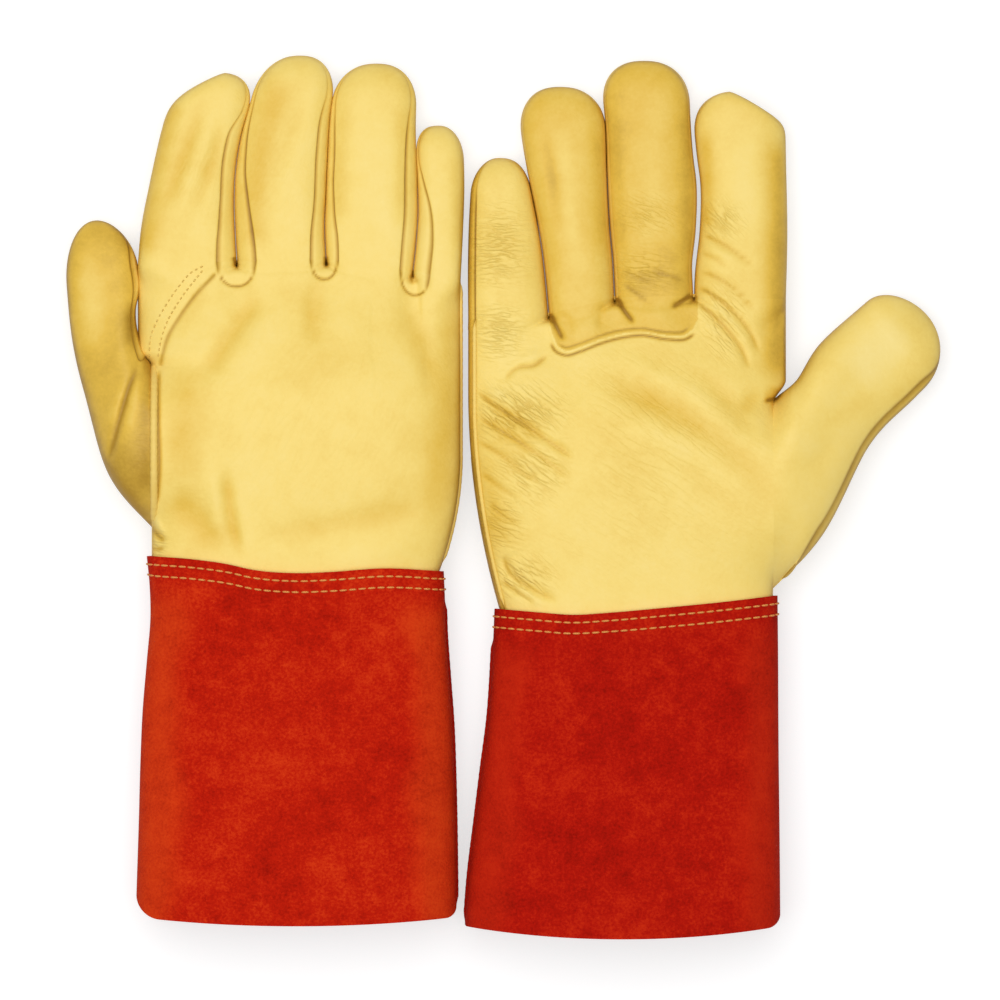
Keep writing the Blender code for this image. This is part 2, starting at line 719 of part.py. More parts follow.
def centre_on_origin(collection, roots):
    """Move the pair so that the middle of the leather's plan is over the origin."""
    bpy.context.view_layer.update()
    corners = [
        piece.matrix_world @ corner.co
        for piece in collection.objects
        if piece.type == "MESH"
        for corner in piece.data.vertices
    ]
    middle_x = (min(c.x for c in corners) + max(c.x for c in corners)) / 2.0
    middle_y = (min(c.y for c in corners) + max(c.y for c in corners)) / 2.0
    for root in roots:
        root.location.x -= middle_x
        root.location.y -= middle_y
    bpy.context.view_layer.update()


def main():
    """Lay the two gloves side by side with their little fingers together."""
    for leftover in list(bpy.data.objects):
        bpy.data.objects.remove(leftover, do_unlink=True)
    collection = bpy.data.collections.new("welding_gloves")
    bpy.context.scene.collection.children.link(collection)
    materials = make_materials()
    forms = [GloveForm(sizes) for sizes in (PALM_DOWN, PALM_UP)]
    extents = [form.little_extents() for form in forms]
    spacing = max(sum(pair) for pair in zip(*extents)) + PAIR_GAP
    roots = []
    for form in forms:
        place = Vector((-form.mirror * spacing / 2.0, form.sizes.wrist_height, 0.0)) * MM
        shop = Workshop(form, collection, place, materials)
        panels = make_hand(shop)
        make_index_seam(shop, panels["back_panel"])
        make_cuff(shop)
        make_fingers(shop)
        make_thumb(shop)
        roots.append(shop.root)
    centre_on_origin(collection, roots)


main()
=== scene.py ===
"""A pair of leather welding gloves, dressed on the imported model.

Each glove is worked out in its own plan, in millimetres: x from the thumb side to the little
finger side, y from the cuff's upper edge to the fingertips and z up from the table. The upper
face of the first glove is its back, and the upper face of the second is its palm.
"""

import json
import logging
import math
from dataclasses import astuple, dataclass, fields
from enum import Enum

import bmesh
import bpy
import numpy as np
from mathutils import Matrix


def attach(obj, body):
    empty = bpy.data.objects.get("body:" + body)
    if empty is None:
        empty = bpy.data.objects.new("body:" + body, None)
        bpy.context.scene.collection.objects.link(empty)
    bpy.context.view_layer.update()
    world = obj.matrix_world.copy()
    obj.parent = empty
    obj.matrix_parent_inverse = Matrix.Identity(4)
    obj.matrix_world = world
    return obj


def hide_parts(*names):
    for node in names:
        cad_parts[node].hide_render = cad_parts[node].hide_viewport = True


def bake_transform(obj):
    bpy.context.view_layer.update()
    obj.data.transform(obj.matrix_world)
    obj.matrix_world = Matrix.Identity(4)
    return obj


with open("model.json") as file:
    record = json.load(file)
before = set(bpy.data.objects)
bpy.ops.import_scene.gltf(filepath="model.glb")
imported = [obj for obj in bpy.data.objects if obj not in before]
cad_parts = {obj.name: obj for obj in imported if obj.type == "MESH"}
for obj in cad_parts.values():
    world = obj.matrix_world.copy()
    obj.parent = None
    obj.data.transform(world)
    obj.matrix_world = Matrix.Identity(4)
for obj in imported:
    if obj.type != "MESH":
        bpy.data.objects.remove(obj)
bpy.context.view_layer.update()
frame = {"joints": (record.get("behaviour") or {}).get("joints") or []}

LOG = logging.getLogger("welding_gloves")
MM = 0.001
QUARTER_TURN = math.pi / 2.0
UP = np.array((0.0, 0.0, 1.0))
ACROSS = np.array((1.0, 0.0, 0.0))

Point = tuple[float, float]
Knots = tuple[Point, ...]
Colour = tuple[float, float, float]
Array = np.ndarray
Piece = bpy.types.Object
Material = bpy.types.Material
Tree = bpy.types.NodeTree
Node = bpy.types.Node
Socket = bpy.types.NodeSocket

# Leather and thread
GRAIN_THICKNESS = 1.2
SPLIT_THICKNESS = 1.6
THREAD_DIAMETER = 0.85
INDEX_THREAD_DIAMETER = THREAD_DIAMETER * 0.7

# Stitches: the distance from one to the next and the length of each, and the depths of the cuff's rows
CUFF_STITCH = (3.8, 3.2)
INDEX_STITCH = (2.3, 1.4)
CUFF_ROW_DEPTHS = (("upper", 3.2), ("lower", 7.6))

# A stitch's points along it and round it, its height and dip in diameters, and its section at its ends
STITCH_POINTS = (6, 6)
STITCH_HEIGHT = 0.32
STITCH_DIP = 0.5
STITCH_END = 0.12

# Welts: their size, how far their ends taper, how they are pinched and where the thumb's and the cuff's begin
WELT_RADIUS = 0.9
THUMB_WELT_RADIUS = 1.6
WELT_SIDES = 10
WELT_TAPER = 5.0
PINCH = 0.06
PINCH_TURN = 2.1
PINCH_DRIFT = 0.37
SIDE_WELT_START = 3
THUMB_WELT_START = 2
THUMB_WELT_SHIFT = (1.2, 0.3)
CUFF_WELT_START = 12.0
CUFF_WELT_ROWS = 120

# How square the sections are: 2 is an ellipse
HAND_SQUARENESS = 3.0
BACK_SQUARENESS = (4.2, 2.9)
PALM_SQUARENESS = (3.0, 2.7)
SQUARE_REACH = 30.0
LOOP_SQUARENESS = 2.3

# Gussets between the fingers: their seams, rolls and loops
SEAM_DEPTH = 0.7
SEAM_WIDTH = 0.5
# SEAM_CREASE: how strongly the fingers' seams sink, and how dark the painted shade in the seams' grooves is
SEAM_CREASE = 0.75
SEAM_END = (0.6, 0.35)
SEAM_FACING = -0.3
LOOP_POINTS = 13
NO_FADING = 0.001
ROLL_RISE = 0.4
LEAST_BAND = 0.35
LEAST_ANGLE = 0.02
PLAIN_BAND = ((0.0, 1.0), (90.0, 0.4))
PALM_BAND = ((0.0, 1.3), (40.0, 1.2), (90.0, 0.4))
SLOT_OPENING = 16.0
LEAST_SLOT = 0.5
NOTCH_DEPTH = 60.0
NOTCH_REACH = 1.0
VALLEY = (1.8, 36.0)
VALLEY_WIDTH = 7.0
VALLEY_START = 9.0
EASE = 0.8
SIDE_BLEND = 55.0
GROOVE_REACH = 3.0
COLUMN_SPREAD = 14.0

# Widths of the gussets by the distance up from the crotch, on a slot's thumb side and little finger side
INDEX_MIDDLE_BANDS = (
    ((0, 7.6), (8, 6.9), (15, 5.9), (25, 5), (45, 5), (52, 4.6), (60, 2), (72, 0.4)),
    ((0, 7.3), (6, 7.2), (16, 6.3), (26, 5), (35, 3.6), (43, 2.8), (55, 1.6), (75, 0.4)),
)
MIDDLE_RING_BANDS = (
    ((0, 5.8), (8, 5.2), (17, 4.3), (44, 4), (56, 3.4), (66, 2), (78, 0.5)),
    ((0, 4.4), (10, 4.6), (20, 3.4), (31, 2.4), (44, 2.3), (60, 1.5), (74, 0.4)),
)
RING_LITTLE_BANDS = (
    ((0, 4.8), (10, 5.1), (21, 4.9), (39, 4.3), (57, 2.8), (70, 1.2), (82, 0.4)),
    ((0, 6.6), (14, 6.4), (27, 4.6), (36, 2.4), (43, 0.9), (60, 0.4)),
)

# The webs: how far they reach past the slot and stand out of it, and how their middles and ends bow
WEB_GRID = (15, 13)
WEB_LAP = 1.0
WEB_DROP = 0.6
WEB_BOW = (1.0, 1.2)
WEB_SPAN = (4.0, 3.0)

# The hand inside the cuff, and its side seam, with painted shade beside its welt
LAP = 12.0
SIDE_SEAM_SHADE = 0.6
SIDE_SEAM_REACH = 1.2
EVEN_SHARE = 0.6

# How the fingers and thumbs leave the hand and round off at their tips, and the painted shade in the thumb's
# seam grooves
SLANT_START = 0.2
SLANT_POWER = 1.2
TIP_FADE = 5.0
RELIEF_START = 4.0
BEND_START = 0.2
BEND_REACH = 24.0
THUMB_BEND_START = 0.3
THUMB_TIP_START = 0.8
THUMB_SEAM_REACH = (0.25, 0.2)
THUMB_SETTLING = 0.2
THUMB_GROOVE_REACH = 0.1
THUMB_GROOVE_SHADE = 0.5
THUMB_TIP_FADES = (0.5, 0.4)

# How soon a face takes on its relief, up from its side
FINGER_FACE = 1.6
HAND_FACE = 1.8

# The cuff: its flare, the rounding of its mouth, its waves and the painted sheen of the paler folds along its
# sides
FLARE_START = 17.0
MOUTH_HALF = 62.0
WAVE_LENGTHS = ((13.0, 29.0), (-31.0, 17.0), (7.0, -11.0))
FINE_WAVE = 0.5
WAVE_HEIGHT = 0.35
WAVE_START = 20.0
RIDGE_PLACE = 0.8
RIDGE_WIDTH = 0.05
RIDGE_HEIGHT = 0.5
RIDGE_START = (8.0, 30.0)
FOLD_PLACE = (0.66, 0.2)
FOLD_START = (6.0, 20.0)
FOLD_WANDER = (0.03, 0.02)
WANDER_LENGTHS = (14.0, 5.3)
WANDER_TURNS = 4.0
ROW_POINTS = 2001

# Painted shade: how much deeper the tone is painted where the leather turns down from the light above, and
# from how level a place that begins
SLOPE_SHADE = 0.42
SLOPE_START = 0.7
SLOPE_RANGE = 0.6

# How finely the surfaces are divided
FINGER_BODY_ROWS = 84
FINGER_TIP_ROWS = 20
WALL_COLUMNS = 9
STRIP_COLUMNS = 36
UNDER_STRIP_COLUMNS = 20
HAND_ROWS = (8, 14, 76, 60)
THUMB_BODY_ROWS = 90
THUMB_TIP_ROWS = 24
CUFF_ROWS = 140
CUFF_COLUMNS = 300

# Strokes: the step along them, how many widths they are felt for, and the ledge beside a lapped edge
STROKE_STEP = 1.5
STROKE_REACH = 3.0
LEDGE_MARGIN = 12.0
LEDGE_REACH = 4.0
LEDGE_WIDTH = 0.8

# Patches of wrinkles: how they fade, how long the wrinkles are and how far apart their patterns lie
CRUMPLE_FALL = 1.2
WRINKLE_STRETCH = 4.0
PATTERN_STEP = 7.0

# The least width of a fold, the width of the painted crease shade along it, and its share left at the fold's
# end
FOLD_WIDTH = 1.0
CREASE_WIDTH = 0.95
CREASE_END = 0.5

# How the painted shade of a crease changes the leather's colour: its tone, and how sharply its own colour
# takes over; and the share of painted shade in fine wrinkles
CREASE_SHADE_TONE = 0.95
CREASE_SHADE_POWER = 1.6
WRINKLE_SHADE = 0.24

# Clouds and flecks of a hide: the scale, detail and roughness of each, and its weight
MOTTLE = (((26.0, 2.0, 0.5), 0.3), ((120.0, 3.0, 0.6), 0.17), ((620.0, 2.0, 0.6), 0.1))

# How much of the suede's nap shows in the painted sheen of its folds
FOLD_SHEEN_BRUSHING = 1.15


@dataclass(frozen=True)
class Level:
    """Heights above the table: the underside, the side seams and the top."""

    bottom: float
    seam: float
    top: float


WRIST_LEVEL = Level(3.7, 17.0, 33.0)
HAND_LEVEL = Level(0.8, 15.0, 36.6)
KNUCKLE_LEVEL = Level(1.7, 12.5, 25.0)
FINGERTIP_LEVEL = Level(0.3, 9.5, 19.0)
THUMB_TIP_LEVEL = Level(0.3, 10.0, 20.0)
CUFF_TOP_LEVEL = Level(1.7, 17.0, 35.0)
CUFF_MOUTH_LEVEL = Level(0.0, 20.0, 44.0)


class Face(Enum):
    """The two faces of a glove as it lies on the table."""

    OVER = 1
    UNDER = -1


@dataclass(frozen=True)
class Edge:
    """A line up the hand: one of its outer sides, or the slot between two fingers.

    Attributes:
        knuckle: where it starts, across the hand.
        reach: how far above the wrist it starts.
        knots: its places farther up, as (height, across).
        slot: the width of the slot.
        bands: the gusset's widths by the distance up from the crotch, on the thumb side and the other.
        loop: how far below the crotch the gusset's loop reaches.
    """

    knuckle: float
    reach: float
    knots: Knots
    slot: float = 0.0
    bands: tuple[Knots, Knots] = (PLAIN_BAND, PLAIN_BAND)
    loop: float = 0.0

    def across(self, height: Array) -> Array:
        """Where the line lies at a height, by a smooth curve through its knots."""
        return through(((self.reach, self.knuckle),) + self.knots, height)

    def half_slot(self, height: Array) -> Array:
        """Half the slot's width, which opens from the crotch upward."""
        opened = smooth((height - self.reach) / SLOT_OPENING)
        return mix(min(self.slot, LEAST_SLOT), self.slot, opened) / 2.0


@dataclass(frozen=True)
class FingerSizes:
    """One finger: its reach from the wrist and the form of its tip.

    Attributes:
        tip_squareness: how square the tip is on its thumb side and on its little finger side.
        slant: how much lower the tip is on its thumb side.
    """

    name: str
    reach: float
    tip_round: float
    tip_squareness: Point = (2.2, 2.2)
    slant: float = 0.0


@dataclass(frozen=True)
class ThumbStation:
    """A section of the thumb: how far out and up from its root, its half width and its turn."""

    out: float
    up: float
    half_width: float
    turn: float


@dataclass(frozen=True)
class Stroke:
    """A fold, a crease or a seam drawn on a face of the leather.

    Attributes:
        width: how far it reaches to each side.
        lift: the height along its line, below 0 in a valley.
        tone: how much paler it is painted along it, a painted highlight above 0 and painted shade below 0.
        crease: how dark the painted shade along its line is.
        fading: the share of its length over which it fades at each end.
        path: the knots of its line, as (across, height) in the plan.
        step: how much higher the leather is on the left of its line, next to it.
    """

    width: float
    lift: float
    tone: float
    crease: float
    fading: float
    path: Knots
    step: float = 0.0


@dataclass(frozen=True)
class Patch:
    """A part of a face of another tone, within a closed line in the plan."""

    corners: Knots
    tone: float

    def holds(self, plan: Array) -> Array:
        """Which points lie inside, by how often a line from each crosses the outline."""
        inside = np.zeros(len(plan), bool)
        for (x0, y0), (x1, y1) in zip(self.corners, self.corners[1:] + self.corners[:1]):
            if y0 == y1:
                continue
            crossed = (plan[:, 1] < y0) != (plan[:, 1] < y1)
            inside ^= crossed & (plan[:, 0] < x0 + (plan[:, 1] - y0) * (x1 - x0) / (y1 - y0))
        return inside


@dataclass(frozen=True)
class Crumple:
    """A patch of fine wrinkles.

    Attributes:
        centre, reach: the middle of the patch and how far it reaches across and up.
        heading: the way the wrinkles run, in degrees from across the hand.
        pitch: the distance from one wrinkle to the next.
        strength: how deep they are.
    """

    centre: Point
    reach: Point
    heading: float
    pitch: float
    strength: float


@dataclass(frozen=True)
class GloveSizes:
    """The sizes of one glove as it lies on the table."""

    name: str
    palm_up: bool
    wrist_half: float
    wrist_line: Knots
    thumb_side_widening: Point
    little_widening: float
    edges: tuple[Edge, ...]
    fingers: tuple[FingerSizes, ...]
    outer_seam: float
    thumb_root: Point
    thumb_stations: tuple[ThumbStation, ...]
    thumb_seam_shift: Point
    thumb_bend: float
    cuff_length: float
    cuff_sides: tuple[Knots, Knots]
    mouth_bow: float
    mouth_corners: Point
    index_rows: tuple[Knots, Knots]
    strokes: tuple[Stroke, ...]
    crumples: tuple[Crumple, ...]
    patches: tuple[Patch, ...]
    tones: tuple[tuple[str, float], ...]


PALM_DOWN = GloveSizes(
    name="glove1",
    palm_up=False,
    wrist_half=57.4,
    wrist_line=(
        (-1, 6.4), (-0.7, 5.2), (-0.45, 3.2), (-0.3, 1.2), (0, -0.3), (0.25, 0.2), (0.6, 1.6), (1, 0.4),
    ),
    thumb_side_widening=(0.65, 0.71),
    little_widening=0.4,
    edges=(
        Edge(-63.0, 122.8, ((136.8, -61.8), (156, -58.2), (175, -54), (190, -50), (205, -46.5))),
        Edge(
            -23.4, 124.0,
            ((134, -24), (148.5, -24.5), (160, -24), (172, -22.2), (190, -17.4), (205, -13.6)),
            slot=0.25, bands=INDEX_MIDDLE_BANDS, loop=10.0,
        ),
        Edge(
            12.2, 124.8,
            ((138.7, 11.6), (150.3, 12.1), (168.2, 12.9), (181.6, 13.7), (190.5, 14.8), (205, 16.4)),
            slot=0.2, bands=MIDDLE_RING_BANDS, loop=8.0,
        ),
        Edge(
            46.9, 120.0,
            ((132.4, 48.2), (141.3, 48.8), (157.4, 48.6), (175, 48), (190, 48.2), (205, 48.6)),
            slot=0.2, bands=RING_LITTLE_BANDS, loop=9.5,
        ),
        Edge(65.9, 116.8, ((135, 66.8), (155, 67.4), (170, 67), (185, 65.8))),
    ),
    fingers=(
        FingerSizes("index", 199.6, 16.0, (4.6, 2.3), 11.0),
        FingerSizes("middle", 206.4, 17.0),
        FingerSizes("ring", 203.2, 17.0),
        FingerSizes("little", 178.4, 14.0, (2.6, 2.2)),
    ),
    outer_seam=3.0,
    thumb_root=(18, 85),
    thumb_stations=(
        ThumbStation(10.6, 13.0, 26.4, 14.5),
        ThumbStation(16.6, 36.2, 19.8, 30.9),
        ThumbStation(19.3, 62.0, 15.4, 67.8),
        ThumbStation(22.7, 89.0, 13.4, 85.0),
    ),
    thumb_seam_shift=(42, 0),
    thumb_bend=5.0,
    cuff_length=140.8,
    cuff_sides=(
        (
            (0, -59.4), (10, -58.4), (24, -57.9), (44, -59.4), (64, -61), (86, -61.9),
            (110, -62.5), (136, -63.3),
        ),
        (
            (0, 59.2), (10, 59.6), (24, 59.9), (44, 61.2), (64, 62.6), (86, 63.4),
            (110, 63.9), (136, 64.2),
        ),
    ),
    mouth_bow=3.5,
    mouth_corners=(9, 4),
    index_rows=(
        (
            (-37.4, 121.8), (-41.4, 119.6), (-45.8, 114.8), (-51, 107.4), (-54.9, 100.6), (-57.6, 93.8),
            (-58.2, 86.6),
        ),
        (
            (-37.4, 119.8), (-40.3, 116.2), (-44.5, 110.8), (-48.4, 104.8), (-51, 100), (-53.2, 93.6),
            (-54.6, 86.6),
        ),
    ),
    strokes=(
        # The lapped edge across the base of the index finger, with painted shade along and beside it
        Stroke(0.9, -0.35, 0, 0.6, 0.02, (
            (-31.6, 119.2), (-41, 109), (-46.4, 101.4), (-50.8, 93.8), (-53, 86.2), (-54, 82),
        ), step=-0.6),
        Stroke(3, 0, -0.16, 0, 0.3, ((-34, 113), (-42, 103), (-47, 92))),
        # Painted shade at the openings of the crotches, sunk a little
        Stroke(0.9, -1.1, 0, 1, 0.25, ((-24.5, 126.4), (-24.2, 124), (-23.4, 121.6))),
        Stroke(0.9, -1.1, 0, 1, 0.25, ((12, 126.6), (12.4, 124), (12.9, 121.6))),
        Stroke(0.6, -0.7, 0, 0.55, 0.25, ((47.2, 121.4), (46.2, 118.4), (47, 114.4))),
        Stroke(0.7, -0.5, 0, 0.3, 0.3, ((44.6, 117), (46.2, 116), (50, 116.6))),
        # Soft folds of the back, with painted shade in their valleys and painted highlights on their ridges
        Stroke(4.2, -1.5, -0.36, 0, 0.3, ((-13, 113), (-20, 102), (-30, 88), (-37, 74))),
        Stroke(7, 0.7, 0.12, 0, 0.45, ((-6, 114), (-10, 98), (-20, 78))),
        Stroke(3.6, -0.9, -0.24, 0, 0.35, ((9, 118), (6.6, 106), (8, 88))),
        Stroke(6, 0.4, 0.1, 0, 0.45, ((20, 118), (19, 104), (24, 84))),
        Stroke(4.5, -0.8, -0.24, 0, 0.35, ((40, 113), (46, 102), (52, 86), (55, 66))),
        Stroke(6, 0, -0.3, 0, 0.2, ((61, 114), (61.5, 80), (58, 44), (53, 14))),
        Stroke(8, 0, -0.3, 0, 0.25, ((-42, 90), (-45, 60), (-45, 30))),
        # Folds above the cuff, with painted shade in their valleys and painted highlights on their ridges
        Stroke(6.5, -1, -0.42, 0, 0.3, ((-51, 33), (-38, 20), (-26, 7))),
        Stroke(2.6, -1.2, -0.4, 0.12, 0.3, ((-28, 44), (-25.6, 24), (-21.4, 3))),
        Stroke(3.6, 0.8, 0.1, 0, 0.35, ((-33, 44), (-32, 26), (-30, 9))),
        Stroke(5.5, -0.7, -0.3, 0, 0.25, ((-18, 14), (20, 20), (58, 27))),
        Stroke(8, 0.4, 0.08, 0, 0.3, ((-12, 34), (16, 36), (46, 40))),
        Stroke(5, 0.4, 0.08, 0, 0.3, ((10, 3), (32, 7), (52, 14))),
        # Folds along the fingers, with painted shade and painted highlights
        Stroke(6.5, 0, -0.45, 0, 0.12, ((-50, 192), (-56.5, 162), (-61, 124))),
        Stroke(3.2, -0.8, -0.34, 0, 0.3, ((-36, 192), (-43, 170), (-53, 142))),
        Stroke(2.6, -0.7, -0.3, 0, 0.3, ((-28, 182), (-33, 164), (-42, 140))),
        Stroke(2.2, 0.4, 0.1, 0, 0.35, ((-32, 186), (-38, 168), (-47, 144))),
        Stroke(5, 0, 0.14, 0, 0.3, ((-36, 160), (-38, 146), (-38, 128))),
        Stroke(6, -0.3, -0.44, 0, 0.15, ((-4, 200), (-12, 174), (-16.5, 148), (-15, 126))),
        Stroke(3, -0.4, -0.16, 0, 0.35, ((5, 196), (-1, 176), (-8, 154))),
        Stroke(6, 0, 0.13, 0, 0.3, ((4, 178), (0, 156), (-1, 130))),
        Stroke(3.6, 0, -0.22, 0, 0.25, ((22, 194), (18.5, 166), (18, 136))),
        Stroke(7, 0, 0.15, 0, 0.3, ((33, 184), (34, 152), (33, 126))),
        Stroke(3, 0, -0.2, 0, 0.25, ((43, 190), (42, 160), (41, 130))),
        Stroke(2.6, 0, -0.14, 0, 0.25, ((60, 172), (64, 152), (64.5, 124))),
        # The thumb's fold with painted shade and highlights, painted shade on its lower side, and the pinch
        # above the cuff with painted shade in it
        Stroke(1.5, -1.3, -0.3, 0.32, 0.25, ((-62, 84), (-66, 74), (-70, 60.2), (-73, 49.4), (-75.7, 42))),
        Stroke(2.4, 0.9, 0.2, 0, 0.45, ((-66, 78), (-71, 68), (-74.5, 56))),
        Stroke(2.6, 0.4, 0.2, 0, 0.35, ((-62, 80), (-64.5, 66), (-67.5, 52))),
        Stroke(3.2, -0.5, -0.25, 0, 0.3, ((-59, 78), (-59.5, 54), (-59.5, 24))),
        Stroke(8, 0, -0.27, 0, 0.4, ((-67, 58), (-66, 42), (-60, 24))),
        Stroke(4, 0, -0.4, 0, 0.2, ((-79, 45), (-72, 34.5), (-64, 26), (-57, 18))),
        Stroke(6, 0, 0.35, 0, 0.45, ((-84, 132), (-82, 108), (-80, 84))),
        Stroke(3.5, 0, -0.5, 0, 0.45, ((-66, 112), (-65, 98), (-66, 86))),
        Stroke(0.9, -0.7, -0.2, 0.55, 0.08, ((-54.4, 82), (-54.5, 62), (-54.2, 38), (-55.4, 26))),
        Stroke(1.4, 1, 0.15, 0, 0.45, ((-56.4, 24), (-54.6, 18.6), (-50.6, 13.8))),
        Stroke(1.3, -1, -0.5, 0.6, 0.2, ((-59.4, 20.4), (-55.8, 15.8), (-51.6, 11.8))),
        Stroke(0.9, -0.5, -0.2, 0.4, 0.25, ((-59, 10.4), (-55.4, 9.2), (-51.6, 9.8))),
    ),
    crumples=(
        Crumple((-55, 12), (4, 6), -5.0, 1.7, 0.9),
        Crumple((-61, 62), (5, 22), 0.0, 2.4, 0.18),
        Crumple((-40, 160), (12, 22), 64.0, 3.2, 0.22),
        Crumple((-6, 160), (14, 30), 62.0, 3.4, 0.16),
        Crumple((0, 60), (50, 50), 60.0, 4.0, 0.14),
    ),
    patches=(),
    tones=(("thumb_back", -0.62), ("thumb_front", -0.2), ("palm_panel", -0.15)),
)

# The seam below the middle and ring fingers of the palm
PALM_SEAM = (
    (34.6, 115), (33.6, 110.4), (31.4, 105.6), (28.3, 103.6), (22.1, 105.1), (14.2, 108.2), (6.3, 110.4),
    (-1.6, 111.3), (-13.1, 109.7), (-19.2, 109.9), (-22.8, 112.6), (-24.5, 116.4),
)

